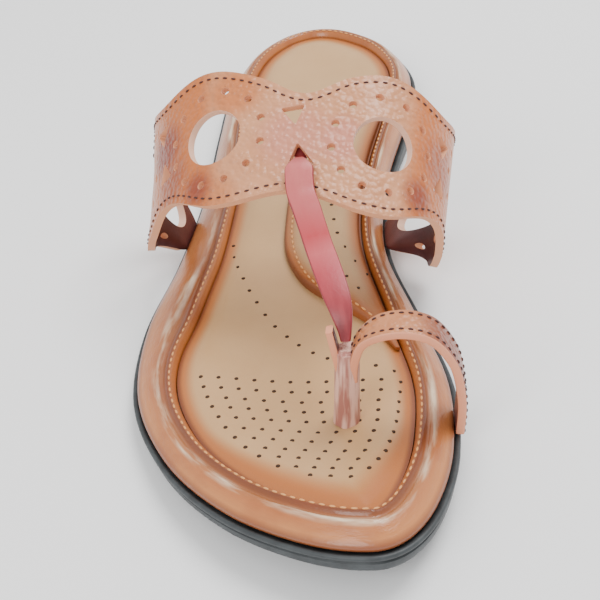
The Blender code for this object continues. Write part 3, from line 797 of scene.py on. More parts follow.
def noise(tree, at, size, stretch=(1, 1, 1), low=0.35, high=0.65, detail=3.0):
    """Cloudy 0 to 1 pattern; size is its grain in metres."""
    moved = add(tree, "ShaderNodeMapping", {"Vector": at, "Scale": stretch})
    cloud = add(
        tree, "ShaderNodeTexNoise",
        {"Vector": moved.outputs[0], "Scale": 1 / size, "Detail": detail, "Roughness": 0.55},
    )
    spread = add(
        tree, "ShaderNodeMapRange",
        {"Value": cloud.outputs[0], "From Min": low, "From Max": high},
    )
    return spread.outputs[0]


def mix(tree, factor, first, second, blend="MIX"):
    """Blends two colours, given as hex text or sockets."""
    first, second = (srgb(c) if isinstance(c, str) else c for c in (first, second))
    return add(
        tree, "ShaderNodeMix", {0: factor, 6: first, 7: second},
        data_type="RGBA", blend_type=blend,
    ).outputs[2]


def maths(tree, operation, first, second=0.0):
    return add(tree, "ShaderNodeMath", {0: first, 1: second}, operation=operation).outputs[0]


def span(tree, value, start, end):
    """Runs smoothly from 0 at start to 1 at end."""
    return add(
        tree, "ShaderNodeMapRange", {"Value": value, "From Min": start, "From Max": end},
        interpolation_type="SMOOTHSTEP",
    ).outputs[0]


def pebbles(tree, at, size, depth, wrinkle=0.4):
    """Grain of embossed leather: rounded pebbles with creases between them."""
    waved = add(tree, "ShaderNodeTexNoise", {"Vector": at, "Scale": 0.6 / size, "Detail": 2.0})
    shifted = add(
        tree, "ShaderNodeVectorMath",
        {0: waved.outputs["Color"], 1: (wrinkle * size,) * 3}, operation="MULTIPLY",
    )
    moved = add(tree, "ShaderNodeVectorMath", {0: at, 1: shifted.outputs[0]}, operation="ADD")
    cells = add(
        tree, "ShaderNodeTexVoronoi",
        {"Vector": moved.outputs[0], "Scale": 1 / size, "Smoothness": 0.5, "Randomness": 0.95},
        feature="SMOOTH_F1",
    )
    domes = maths(tree, "SUBTRACT", 1.0, cells.outputs["Distance"])
    return add(
        tree, "ShaderNodeBump", {"Height": domes, "Distance": depth, "Strength": 1.0}
    ).outputs[0]


def fine_grain(tree, at, size, depth, stretch=(1, 1, 1)):
    moved = add(tree, "ShaderNodeMapping", {"Vector": at, "Scale": stretch})
    cloud = add(
        tree, "ShaderNodeTexNoise",
        {"Vector": moved.outputs[0], "Scale": 1 / size, "Detail": 4.0, "Roughness": 0.6},
    )
    return add(
        tree, "ShaderNodeBump",
        {"Height": cloud.outputs[0], "Distance": depth, "Strength": 1.0},
    ).outputs[0]


def outsole_rubber():
    """Matt black rubber, a little dusty in clouds."""
    def colour(tree):
        return mix(tree, noise(tree, place(tree), 4 * MM), "#2b2f31", "#3a3f41")

    def bump(tree):
        return fine_grain(tree, place(tree), 0.6 * MM, 0.05 * MM)

    return material("outsole rubber", colour, 0.5, bump)


def rim_leather():
    """Burnished calf on the midsole; painted highlight streaks, painted shade in the ridge's
    crease.
    """
    def colour(tree):
        share = painted(tree, "rim")
        wrap = place(tree, "wrap")
        # Painted shade: the ramp darkens from the valley up onto the stitched ridge.
        bands = add(
            tree, "ShaderNodeValToRGB", {"Fac": share},
            stops=(
                (0.0, "#8c4f2b"), (0.12, "#c07a45"), (0.4, "#b56c3a"), (0.62, "#a8693c"),
                (0.8, "#8a4c24"), (0.92, "#6b3416"), (1.0, "#b0652c"),
            ),
        ).outputs[0]
        # Painted highlight, partly pale creasing: pale streaks round the rim on its shoulder's
        # crest.
        streaks = noise(tree, wrap, 2.4 * MM, (0.14, 0.14, 1.0), 0.45, 0.66)
        crest = maths(tree, "MULTIPLY", span(tree, share, 0.38, 0.55),
                      span(tree, share, 0.78, 0.62))
        light = mix(tree, maths(tree, "MULTIPLY", streaks, crest), bands, "#e2c8a8")
        blotches = noise(tree, wrap, 9 * MM, (0.6, 0.6, 1.0), 0.45, 0.75)
        return mix(tree, maths(tree, "MULTIPLY", blotches, 0.5), light, "#8a3f1c")

    def bump(tree):
        return fine_grain(tree, place(tree, "wrap"), 1.3 * MM, 0.25 * MM, (0.25, 0.25, 1.0))

    return material("burnished rim leather", colour, 0.34, bump, Coat_Weight=0.25)


def sock_leather(sock):
    """Smooth tan leather, burnished more orange near its edge and darkened there by painted shade.
    """
    def colour(tree):
        edge = painted(tree, "edge")
        cloud = noise(tree, place(tree), 14 * MM, (1, 1, 1), 0.35, 0.7)
        tan = mix(tree, maths(tree, "MULTIPLY", cloud, 0.35), sock, "#b88a58")
        toe = painted(tree, "toe")
        wide = maths(tree, "ADD", 4.0, maths(tree, "MULTIPLY", toe, 7.0))
        near = span(tree, maths(tree, "DIVIDE", edge, wide), 1.15, 0.35)
        warm = mix(tree, near, tan, "#b0662b")
        # Painted shade: darkest within 1.6 mm of the edge, where the sock dips against the rim.
        dark = span(tree, edge, 1.6, 0.2)
        return mix(tree, dark, warm, "#7a3d17")

    def bump(tree):
        return fine_grain(tree, place(tree), 0.5 * MM, 0.05 * MM)

    return material("smooth sock leather", colour, 0.42, bump, Coat_Weight=0.1)


def arch_leather():
    """Tan cushion leather with a burnished edge, painted shade right at it and a redder outer
    corner.
    """
    def colour(tree):
        edge = painted(tree, "edge")
        cloud = noise(tree, place(tree), 12 * MM)
        tan = mix(tree, maths(tree, "MULTIPLY", cloud, 0.4), "#bb9262", "#ab7f50")
        warm = mix(tree, span(tree, edge, 4.5, 0.8), tan, "#a7602a")
        # Painted shade: dark brown within 1.2 mm of the cushion's edges, against the sock and rim.
        dark = mix(tree, span(tree, edge, 1.2, 0.0), warm, "#6b3415")
        return mix(tree, painted(tree, "burn"), dark, "#96501f")

    def bump(tree):
        return fine_grain(tree, place(tree), 0.5 * MM, 0.05 * MM)

    return material("arch cushion leather", colour, 0.42, bump, Coat_Weight=0.1)


def grained_leather(grained):
    """Pebbled hide, hand burnished orange and brown in clouds, glossy on the pebbles."""
    def colour(tree):
        at = place(tree, "flat")
        cloud = noise(tree, at, 9 * MM)
        base = mix(tree, maths(tree, "MULTIPLY", cloud, 0.5), grained, "#bd7a50")
        rosy = mix(tree, painted(tree, "rose"), base, "#c87d69")
        burnt = mix(tree, painted(tree, "burn"), rosy, "#c0692c")
        return mix(tree, painted(tree, "dark"), burnt, "#8c3a1c")

    def bump(tree):
        return pebbles(tree, place(tree, "flat"), 1.35 * MM, 0.5 * MM)

    return material("pebbled band leather", colour, 0.36, bump, Coat_Weight=0.2)


def cut_edge(name, colour, rough=0.55):
    """Raw cut edge of leather, painted a paler shade than its face."""
    return material(
        name, colour, rough, lambda tree: fine_grain(tree, place(tree), 0.5 * MM, 0.06 * MM)
    )


def lining_leather():
    """Dark plum lining, a little glossy."""
    def colour(tree):
        return mix(tree, noise(tree, place(tree), 7 * MM), "#4b2828", "#5e3230")

    return material("plum lining", colour, 0.4,
                    lambda tree: fine_grain(tree, place(tree), 0.6 * MM, 0.06 * MM))


def cherry_leather(cherry):
    """Smooth leather stained pink to cherry along its length; painted shade darkens both ends."""
    def colour(tree):
        parts = add(tree, "ShaderNodeSeparateXYZ", {0: place(tree, "flat")}).outputs
        reach = add(
            tree, "ShaderNodeMapRange",
            {"Value": parts[0], "From Min": 0.0, "From Max": 60 * MM},
        ).outputs[0]
        # Painted shade: the dark stops at both ends, where the strap runs under the panel and the
        # loop.
        bands = add(
            tree, "ShaderNodeValToRGB", {"Fac": reach},
            stops=(
                (0.0, "#5a1518"), (0.14, "#7a2022"), (0.2, "#c86a66"), (0.42, "#bb5656"),
                (0.6, "#b22e36"), (0.7, "#c4565a"), (0.8, "#aa3440"), (1.0, "#701820"),
            ),
        ).outputs[0]
        streaks = noise(tree, place(tree, "flat"), 2 * MM, (0.25, 1, 1))
        return mix(tree, maths(tree, "MULTIPLY", streaks, 0.4), bands, cherry)

    return material("cherry strap leather", colour, 0.4,
                    lambda tree: fine_grain(tree, place(tree), 0.7 * MM, 0.05 * MM))


def loop_leather():
    """Pebbled orange-brown leather, darker and redder towards the outside of the toe."""
    def colour(tree):
        cloud = noise(tree, place(tree), 6 * MM)
        base = mix(tree, maths(tree, "MULTIPLY", cloud, 0.5), "#c67e50", "#b46a3e")
        return mix(tree, painted(tree, "dark"), base, "#8c4427")

    return material("toe loop leather", colour, 0.38,
                    lambda tree: pebbles(tree, place(tree), 1.2 * MM, 0.35 * MM),
                    Coat_Weight=0.2)


def post_leather():
    """Folded leather of the toe post, pinkish with pale upright streaks."""
    def colour(tree):
        streaks = noise(tree, place(tree, "flat"), 1.6 * MM, (0.12, 1, 1), 0.42, 0.6)
        return mix(tree, streaks, "#a86d62", "#e2b5a2")

    return material("folded post leather", colour, 0.42,
                    lambda tree: fine_grain(tree, place(tree, "flat"), 1.2 * MM, 0.2 * MM,
                                            (0.12, 1, 1)))


def thread(name, colour):
    """Waxed thread."""
    return material(name, colour, 0.5)


def pinhole_shade():
    """Painted shade: the dark of a punched hole, laid on a disc where no hole is cut."""
    return material("punched hole", "#3a2413", 0.9)


def named_input(tree, name, kind):
    return tree.interface.new_socket(name, in_out="INPUT", socket_type=kind).identifier


def stitch_tree():
    """Nodes that lay stitches along a line: returns the tree and its inputs' identifiers."""
    tree = bpy.data.node_groups.new("stitch row", "GeometryNodeTree")
    named_input(tree, "Line", "NodeSocketGeometry")
    names = {
        "Pitch": named_input(tree, "Pitch", "NodeSocketFloat"),
        "Length": named_input(tree, "Length", "NodeSocketFloat"),
        "Thickness": named_input(tree, "Thickness", "NodeSocketFloat"),
        "Thread": named_input(tree, "Thread", "NodeSocketMaterial"),
    }
    tree.interface.new_socket("Stitches", in_out="OUTPUT", socket_type="NodeSocketGeometry")
    given = add(tree, "NodeGroupInput").outputs
    curve = add(tree, "GeometryNodeMeshToCurve", {"Mesh": given["Line"]}).outputs[0]
    even = add(
        tree, "GeometryNodeResampleCurve", {"Curve": curve, "Length": given["Pitch"]},
        mode="LENGTH",
    ).outputs[0]
    up = add(tree, "GeometryNodeInputNamedAttribute", {"Name": "up"}, data_type="FLOAT_VECTOR")
    tangent = add(tree, "GeometryNodeInputTangent").outputs[0]
    lying = add(
        tree, "FunctionNodeAlignRotationToVector", {"Vector": tangent}, axis="X"
    ).outputs[0]
    turned = add(
        tree, "FunctionNodeAlignRotationToVector",
        {"Rotation": lying, "Vector": up.outputs[0]}, axis="Z", pivot_axis="X",
    ).outputs[0]
    ball = add(
        tree, "GeometryNodeMeshUVSphere", {"Segments": 8, "Rings": 5, "Radius": 0.5}
    ).outputs["Mesh"]
    size = add(
        tree, "ShaderNodeCombineXYZ",
        {0: given["Length"], 1: given["Thickness"], 2: given["Thickness"]},
    ).outputs[0]
    stitch = add(
        tree, "GeometryNodeTransform", {"Geometry": ball, "Scale": size}
    ).outputs[0]
    laid = add(
        tree, "GeometryNodeInstanceOnPoints",
        {"Points": even, "Instance": stitch, "Rotation": turned},
    ).outputs[0]
    real = add(tree, "GeometryNodeRealizeInstances", {"Geometry": laid}).outputs[0]
    dyed = add(
        tree, "GeometryNodeSetMaterial", {"Geometry": real, "Material": given["Thread"]}
    ).outputs[0]
    add(tree, "NodeGroupOutput", {"Stitches": dyed})
    return tree, names


def punch_tree():
    """Nodes that set a small dark disc on each point: painted shade standing for a hole."""
    tree = bpy.data.node_groups.new("punched holes", "GeometryNodeTree")
    named_input(tree, "Dots", "NodeSocketGeometry")
    names = {
        "Radius": named_input(tree, "Radius", "NodeSocketFloat"),
        "Dark": named_input(tree, "Dark", "NodeSocketMaterial"),
    }
    tree.interface.new_socket("Holes", in_out="OUTPUT", socket_type="NodeSocketGeometry")
    given = add(tree, "NodeGroupInput").outputs
    up = add(tree, "GeometryNodeInputNamedAttribute", {"Name": "up"}, data_type="FLOAT_VECTOR")
    turned = add(
        tree, "FunctionNodeAlignRotationToVector", {"Vector": up.outputs[0]}, axis="Z"
    ).outputs[0]
    disc = add(
        tree, "GeometryNodeMeshCylinder",
        {"Vertices": 12, "Radius": given["Radius"], "Depth": 0.12 * MM},
    ).outputs["Mesh"]
    laid = add(
        tree, "GeometryNodeInstanceOnPoints",
        {"Points": given["Dots"], "Instance": disc, "Rotation": turned},
    ).outputs[0]
    real = add(tree, "GeometryNodeRealizeInstances", {"Geometry": laid}).outputs[0]
    dyed = add(
        tree, "GeometryNodeSetMaterial", {"Geometry": real, "Material": given["Dark"]}
    ).outputs[0]
    add(tree, "NodeGroupOutput", {"Holes": dyed})
    return tree, names


def laid_out(name, tree_and_names, rows, values, closed=False):
    """Runs a node tree over rows of points with up vectors and keeps the plain mesh."""
    tree, names = tree_and_names
    points, ups, edges = [], [], []
    for path, up in rows:
        start = sum(len(p) for p in points)
        points.append(metres(path))
        ups.append(np.broadcast_to(up, (len(path), 3)))
        edges += [(start + k, start + k + 1) for k in range(len(path) - 1)]
        if closed:
            edges.append((start + len(path) - 1, start))
    mesh = bpy.data.meshes.new(name)
    mesh.from_pydata([tuple(p) for p in np.concatenate(points)], edges, [])
    paint(mesh, "up", np.concatenate(ups))
    made = bpy.data.objects.new(name, mesh)
    bpy.context.scene.collection.objects.link(made)
    nodes = made.modifiers.new(tree.name, "NODES")
    nodes.node_group = tree
    for key, value in values.items():
        nodes[names[key]] = value
    graph = bpy.context.evaluated_depsgraph_get()
    real = bpy.data.meshes.new_from_object(made.evaluated_get(graph))
    made.modifiers.clear()
    made.data = real
    real.name = name
    if not len(real.polygons):
        raise RuntimeError(f"{name} came out empty")
    real.shade_smooth()
    return made


def panel_rows():
    """Rows across half the flat panel, crowded towards its edges."""
    half = np.concatenate([np.linspace(0, 0.9, 16), (0.935, 0.965, 0.985, 1.0)])
    return np.concatenate([-half[:0:-1], half])


def flat_band():
    """The panel as cut, before its holes: points and faces of a slab 2 mm thick."""
    even = np.linspace(0, 1, 171)
    share = even - 0.7 * np.sin(2 * math.pi * even) / (2 * math.pi)
    trim = 0.06
    along = np.clip(PANEL_START + (PANEL_END - PANEL_START) * share,
                    PANEL_START + trim, PANEL_END - trim)
    rows = panel_rows()
    plan = []
    for a in along:
        reach, dip, shift = panel_reach(a), rear_dip(a), float(medallion_shift(a))
        for row in rows:
            plan.append((a, shift + row * (reach - (dip if row < 0 else 0))))
    plan = np.array(plan)
    half = PANEL_WALL / 2
    return grid_solid(with_height(plan, -half), with_height(plan, half), len(rows))


def prism(corners, depth):
    """Points and faces of a prism through the flat panel."""
    count = len(corners)
    corners = np.array(corners)
    points = np.concatenate([with_height(corners, -depth), with_height(corners, depth)])
    faces = [tuple(range(count))[::-1], tuple(range(count, 2 * count))]
    for k in range(count):
        after = (k + 1) % count
        faces.append((k, after, after + count, k + count))
    return points, faces


def circle(along, forward, radius, sides):
    turns = np.arange(sides) * 2 * math.pi / sides
    return np.stack([along + radius * np.cos(turns), forward + radius * np.sin(turns)], axis=1)


def ring_holes():
    """Middles of the small holes that lie inside the panel and clear of the cut-outs."""
    middles = []
    for _, along, forward, _, turn in MEDALLIONS:
        for k in range(RING_HOLES):
            angle = math.radians(turn) + 2 * math.pi * k / RING_HOLES
            x = along + RING_RADIUS * math.cos(angle)
            y = forward + RING_RADIUS * math.sin(angle)
            margin = 2.5 * SMALL_HOLE_RADIUS
            if not PANEL_START + margin < x < PANEL_END - margin:
                continue
            if abs(y - medallion_shift(x)) >= panel_reach(x) - margin:
                continue
            nearest = min(abs(join[1] - x) for join in JOINS)
            if nearest > CUTOUT_HALF_WIDTH + 2 * SMALL_HOLE_RADIUS:
                middles.append((x, y))
    return middles


def triangle(join, far, half_width, side):
    _, along, shift, turn = join
    c, s = math.cos(math.radians(turn)), math.sin(math.radians(turn))
    flat = [(0.0, CUTOUT_NEAR * side), (half_width, far * side), (-half_width, far * side)]
    # Corners are nipped off, since a punch leaves them slightly round.
    corners = []
    for k, corner in enumerate(flat):
        for other in (flat[k - 1], flat[(k + 1) % 3]):
            to = np.subtract(other, corner)
            corners.append(np.add(corner, to * 0.5 / np.linalg.norm(to)))
    turned = [(along + x * c - y * s, shift + x * s + y * c) for x, y in corners]
    return turned[::side]


def cutters():
    """Outlines of all the holes of the panel."""
    shapes = [circle(a, f, LARGE_HOLE_RADIUS, 64) for _, a, f, _, _ in MEDALLIONS]
    shapes += [circle(x, y, SMALL_HOLE_RADIUS, 16) for x, y in ring_holes()]
    for join in JOINS:
        crest = join[0] == "crest"
        shapes.append(triangle(join, SLIT_FAR if crest else CUTOUT_FAR,
                               SLIT_HALF_WIDTH if crest else CUTOUT_HALF_WIDTH, 1))
        shapes.append(triangle(join, CUTOUT_FAR, CUTOUT_HALF_WIDTH, -1))
    return shapes


def plain_object(name, points, faces):
    mesh = bpy.data.meshes.new(name)
    mesh.from_pydata([tuple(p) for p in points], [], faces)
    face_out(mesh)
    return linked(name, mesh, ())


def blob(flat, along, forward, radius, softness):
    """A soft round patch on the flat panel, 1 in its middle."""
    away = np.hypot(flat[:, 0] - along, flat[:, 1] - forward)
    return ease((radius + softness - away) / softness)


def band_paint(flat):
    """Where the flat panel is burnished orange, dark brown and rosy."""
    along = flat[:, 0]
    outer = ease((-17 - along) / 8)
    inner = ease((along - 25) / 7)
    burn = np.maximum.reduce([
        outer, inner, 0.8 * blob(flat, -15, -15, 3, 7), 0.6 * blob(flat, -22, 13, 3, 6),
    ])
    dark = np.maximum.reduce([
        blob(flat, -26, 9, 1, 6), blob(flat, -38, -8, 3, 7), blob(flat, 32, 12, 1, 6),
        0.7 * blob(flat, -36, 2, 2, 8), 0.6 * blob(flat, 40, 0, 3, 8),
    ])
    rose = np.maximum(0.8 * blob(flat, 11, 1, 3, 6), 0.7 * blob(flat, 0, 0, 4, 8))
    return burn, dark, rose


def build_band(grained):
    points, faces = flat_band()
    work = plain_object("instep_panel", points, faces)
    holes, hole_faces = [], []
    for shape in cutters():
        made, sides = prism(shape, 2 * PANEL_WALL)
        start = sum(len(h) for h in holes)
        holes.append(made)
        hole_faces += [tuple(start + v for v in side) for side in sides]
    punch = plain_object("panel_punch", np.concatenate(holes), hole_faces)
    cut = work.modifiers.new("holes", "BOOLEAN")
    cut.operation = "DIFFERENCE"
    cut.solver = "EXACT"
    cut.object = punch
    graph = bpy.context.evaluated_depsgraph_get()
    mesh = bpy.data.meshes.new_from_object(work.evaluated_get(graph))
    work.modifiers.clear()
    work.data = mesh
    bpy.data.objects.remove(punch, do_unlink=True)
    clean = bmesh.new()
    clean.from_mesh(mesh)
    bmesh.ops.remove_doubles(clean, verts=clean.verts, dist=1e-4)
    bmesh.ops.dissolve_degenerate(clean, edges=clean.edges, dist=1e-3)
    bmesh.ops.triangulate(clean, faces=[f for f in clean.faces if len(f.verts) > 4])
    clean.to_mesh(mesh)
    clean.free()
    flat = np.empty(3 * len(mesh.vertices))
    mesh.vertices.foreach_get("co", flat)
    flat = flat.reshape(-1, 3)
    large = np.array([(a, f) for _, a, f, _, _ in MEDALLIONS])
    kinds = []
    for face in mesh.polygons:
        middle = np.array(face.center[:2])
        if face.normal.z > 0.5:
            kinds.append(0)
        elif face.normal.z < -0.5:
            kinds.append(1)
        elif np.hypot(*(large - middle).T).min() < LARGE_HOLE_RADIUS + 0.3:
            kinds.append(3)
        else:
            kinds.append(2)
    edge = distance(flat[:, :2], panel_outline())
    bent = metres(tucked(*flat.T))
    mesh.vertices.foreach_set("co", bent.ravel())
    mesh.polygons.foreach_set("material_index", kinds)
    for finish in (
        grained_leather(grained), lining_leather(),
        cut_edge("peach cut edge", "#e0a37d"), cut_edge("pink hole wall", "#e6b79c"),
    ):
        mesh.materials.append(finish)
    face_out(mesh)
    paint(mesh, "flat", flat * MM)
    paint(mesh, "edge", edge)
    for name, values in zip(("burn", "dark", "rose"), band_paint(flat)):
        paint(mesh, name, values)
    mesh.shade_smooth()
    mesh.set_sharp_from_angle(angle=math.radians(50))
    return belongs(work, "grained_leather", "instep_band")


def band_seams(margin):
    """Stitch lines inside the panel's front and rear edges, with their up vectors."""
    line = panel_outline(560)
    half = len(line) // 2 + 1
    rows = []
    for part in (line[:half], line[half:][::-1]):
        step = np.gradient(part, axis=0)
        step /= np.linalg.norm(step, axis=1)[:, None]
        side = np.stack([-step[:, 1], step[:, 0]], axis=1)
        middle = np.stack([part[:, 0], medallion_shift(part[:, 0])], axis=1)
        sign = np.sign(((middle - part) * side).sum(1))
        seam = part + side * sign[:, None] * margin
        keep = (seam[:, 0] > PANEL_START + 4.5) & (seam[:, 0] < PANEL_END - 4.5)
        seam = seam[keep]
        top = tucked(seam[:, 0], seam[:, 1], np.full(len(seam), PANEL_WALL / 2 + 0.05))
        over = tucked(seam[:, 0], seam[:, 1], np.full(len(seam), PANEL_WALL / 2 + 1.05))
        rows.append((top, over - top))
    return rows


def ridge_line():
    low = bead_height(EDGE[:, 0])
    rise = ridge_height(EDGE[:, 0]) - low
    plan = inset_loop(RIM_WIDTH * 0.965)
    return with_height(plan, low + rise + 0.12)


def on_top(plan, height, lift=0.08):
    return with_height(np.asarray(plan, float), height(plan) + lift)


class SANDAL_OT_outsole(bpy.types.Operator):
    """Rubber outsole with its groove and bead"""

    bl_idname = "sandal.outsole"
    bl_label = "Rubber outsole"

    def execute(self, context):
        low = underside(EDGE[:, 0])
        top = bead_height(EDGE[:, 0])
        loops = [
            with_height(inset_loop(inset), low + share * (top - low) + further)
            for inset, share, further in OUTSOLE_SIDE
        ]
        points, faces = stacked(loops)
        piece = surface("rubber_sole", points, faces, [outsole_rubber()])
        belongs(piece, "outsole_rubber", "outsole")
        return {"FINISHED"}


class SANDAL_OT_rim(bpy.types.Operator):
    """Leather-wrapped midsole with its stitched ridge"""

    bl_idname = "sandal.rim"
    bl_label = "Leather rim"

    def execute(self, context):
        low = bead_height(EDGE[:, 0])
        rise = ridge_height(EDGE[:, 0]) - low
        rows = finer(RIM, 2)
        loops = [
            with_height(inset_loop(RIM_WIDTH * width + further_in),
                        low + rise * share + further_up)
            for width, further_in, share, further_up in rows
        ]
        floor = inset_loop(RIM_WIDTH + RIDGE_INSET)
        loops.append(with_height(floor, ridge_height(floor[:, 0]) - RECESS))
        points, faces = stacked(loops)
        piece = surface("leather_rim", points, faces, [rim_leather()])
        shares = np.concatenate([np.repeat(rows[:, 0], AROUND), np.full(AROUND, 1.0)])
        wrap = wrapped(len(loops))
        wrap[:, 2] = shares * 10 * MM
        paint(piece.data, "rim", shares)
        paint(piece.data, "wrap", wrap)
        belongs(piece, "rim_leather", "midsole")
        return {"FINISHED"}


class SANDAL_OT_sock(bpy.types.Operator):
    """Padded sock inside the ridge"""

    bl_idname = "sandal.sock"
    bl_label = "Padded sock"

    def execute(self, context):
        seat = ridge_height(SOCK_EDGE[:, 0])
        loops = [
            with_height(SOCK_EDGE, seat - RECESS + INSOLE_SEAT),
            with_height(SOCK_EDGE, seat + PILLOW[0][1]),
        ]
        even = np.linspace(0, 1, 45)
        shares = even - 0.8 * np.sin(2 * math.pi * even) / (2 * math.pi)
        points, faces = stacked(loops, tuple(shares), sock_height)
        looks = context.scene.sandal_colours
        piece = surface("padded_sock", points, faces, [sock_leather(tuple(looks.sock))], 60.0)
        paint(piece.data, "edge", distance(points[:, :2], SOCK_EDGE))
        paint(piece.data, "toe", ease((points[:, 0] - 205) / 30))
        belongs(piece, "sock_leather", "insole")
        return {"FINISHED"}


class SANDAL_OT_arch_cushion(bpy.types.Operator):
    """Half-moon cushion under the arch"""

    bl_idname = "sandal.arch_cushion"
    bl_label = "Arch cushion"

    def execute(self, context):
        first, last = ARCH_PAD[0][0], ARCH_PAD[-1][0]
        stations = first + (last - first) * (1 - np.cos(np.linspace(0, math.pi, 81))) / 2
        across = np.interp(np.linspace(0, 1, 28), np.linspace(0, 1, len(ARCH_PAD_SECTION)),
                           column(ARCH_PAD_SECTION, 0))
        near, far = arch_sides(stations)
        plan = np.array([
            (x, a + (b - a) * share)
            for x, a, b in zip(stations, near, far) for share in across
        ])
        lower = with_height(plan, sock_height(plan) + ARCH_PAD_SEAT)
        upper = with_height(plan, arch_top(plan))
        points, faces = grid_solid(lower, upper, len(across))
        piece = surface("arch_cushion", points, faces, [arch_leather()], 60.0)
        rim = np.concatenate([np.stack([stations, near], 1), np.stack([stations, far], 1)[::-1]])
        paint(piece.data, "edge", distance(points[:, :2], rim))
        paint(piece.data, "burn", ease((points[:, 0] - 150) / 25) * 0.8)
        belongs(piece, "arch_leather", "arch_pad")
        return {"FINISHED"}


class SANDAL_OT_band(bpy.types.Operator):
    """Instep panel with its medallions, holes and slit"""

    bl_idname = "sandal.band"
    bl_label = "Instep panel"

    def execute(self, context):
        build_band(tuple(context.scene.sandal_colours.grained))
        return {"FINISHED"}


class SANDAL_OT_strap(bpy.types.Operator):
    """T-strap from the slit to the toe post"""

    bl_idname = "sandal.strap"
    bl_label = "Cherry T-strap"

    def execute(self, context):
        start = np.array(T_STRAP_START)
        bent = over_instep(start[:, 0], start[:, 1], start[:, 2])
        table = np.concatenate([np.concatenate([bent, start[:, 3:]], axis=1), T_STRAP_RUN])
        points, faces, kinds, flat = strap_solid(table, (0, 1, 0), T_STRAP_WALL, 0.7, 0.4)
        cherry = cherry_leather(tuple(context.scene.sandal_colours.cherry))
        finishes = [cherry, cherry, cut_edge("cherry cut edge", "#8e2a30")]
        piece = surface("cherry_strap", points, faces, finishes, 60.0)
        piece.data.polygons.foreach_set("material_index", kinds)
        paint(piece.data, "flat", flat * MM)
        belongs(piece, "smooth_leather", "t_strap")
        return {"FINISHED"}


class SANDAL_OT_toe_loop(bpy.types.Operator):
    """Toe loop and the folded post it ends in"""

    bl_idname = "sandal.toe_loop"
    bl_label = "Toe loop and post"

    def execute(self, context):
        flap = [(205.6, 14.8, 22.0, 4.0), (205.4, 14.2, 28.5, 4.2), (204.8, 13.4, 34.4, 3.2)]
        parts = [
            strap_solid(TOE_LOOP, (1, 0, 0), TOE_LOOP_WALL),
            strap_solid(flap, (1, 0, 0), 1.6),
            post_solid(),
        ]
        points, faces, kinds, flat = [], [], [], []
        for p, f, k, where in parts:
            start = sum(len(one) for one in points)
            points.append(p)
            faces += [tuple(start + v for v in face) for face in f]
            kinds += k
            flat.append(where)
        points = np.concatenate(points)
        finishes = [loop_leather(), lining_leather(), cut_edge("orange cut edge", "#e09470"),
                    post_leather()]
        mesh = bpy.data.meshes.new("toe_loop_leather")
        mesh.from_pydata([tuple(p) for p in metres(points)], [], faces)
        piece = linked("toe_loop_leather", mesh, finishes)
        mesh.polygons.foreach_set("material_index", kinds)
        face_out(mesh)
        mesh.shade_smooth()
        mesh.set_sharp_from_angle(angle=math.radians(60))
        paint(mesh, "flat", np.concatenate(flat) * MM)
        paint(mesh, "dark", ease((points[:, 1] - 30) / 8))
        belongs(piece, "grained_leather", "toe_loop")
        return {"FINISHED"}


class SANDAL_OT_stitches(bpy.types.Operator):
    """All rows of stitching"""

    bl_idname = "sandal.stitches"
    bl_label = "Stitching"

    def execute(self, context):
        sizes = context.scene.sandal_sizes
        tree = stitch_tree()
        orange = thread("light orange thread", "#d9985c")
        maroon = thread("dark maroon thread", "#3c1412")
        up = (0.0, 0.0, 1.0)
        ridge = laid_out("ridge_stitches", tree, [(ridge_line(), up)], {
            "Pitch": sizes.ridge_pitch, "Length": 1.6 * MM, "Thickness": sizes.thread,
            "Thread": orange,
        }, closed=True)
        belongs(ridge, "rim_leather")
        seams = laid_out("band_stitches", tree, band_seams(sizes.band_margin / MM), {
            "Pitch": sizes.band_pitch, "Length": 1.4 * MM, "Thickness": sizes.thread,
            "Thread": maroon,
        })
        belongs(seams, "grained_leather")
        arch = np.array(ARCH_SEAM)
        knots = np.concatenate([[0], np.cumsum(np.hypot(*np.diff(arch, axis=0).T))])
        even = np.linspace(0, knots[-1], 120)
        plan = np.stack([smooth(knots, arch[:, 0], even), smooth(knots, arch[:, 1], even)], 1)
        cushion = laid_out("arch_stitches", tree, [(on_top(plan, arch_top), up)], {
            "Pitch": sizes.ridge_pitch, "Length": 1.6 * MM, "Thickness": sizes.thread,
            "Thread": orange,
        })
        belongs(cushion, "arch_leather")
        path, width, _ = strap_path(TOE_LOOP, 0.8)
        _, spread, look = strap_frame(path, (1, 0, 0))
        rows = []
        for side in (1, -1):
            row = path + spread * (side * (width / 2 - 1.3))[:, None]
            row = row + look * (TOE_LOOP_WALL / 2 + 0.05)
            rows.append((row[10:], look[10:]))
        loop = laid_out("toe_loop_stitches", tree, rows, {
            "Pitch": 2.0 * MM, "Length": 1.2 * MM, "Thickness": sizes.thread,
            "Thread": maroon,
        })
        belongs(loop, "grained_leather")
        return {"FINISHED"}


class SANDAL_OT_perforations(bpy.types.Operator):
    """Punched dots of the sock and the arch cushion, dark discs of painted shade"""

    bl_idname = "sandal.perforations"
    bl_label = "Perforations"

    def execute(self, context):
        sizes = context.scene.sandal_sizes
        tree = punch_tree()
        dark = pinhole_shade()
        dots = [np.linspace(first, last, count) for first, last, count in DOT_ROWS]
        plan = np.concatenate([*dots, DOT_CURVE])
        up = (0.0, 0.0, 1.0)
        values = {"Radius": sizes.pinhole, "Dark": dark}
        sock = laid_out("sock_perforations", tree, [(on_top(plan, sock_height, 0.0), up)], values)
        belongs(sock, "sock_leather")
        arch = laid_out(
            "arch_perforations", tree, [(on_top(ARCH_DOTS, arch_top, 0.0), up)], values
        )
        belongs(arch, "arch_leather")
        return {"FINISHED"}


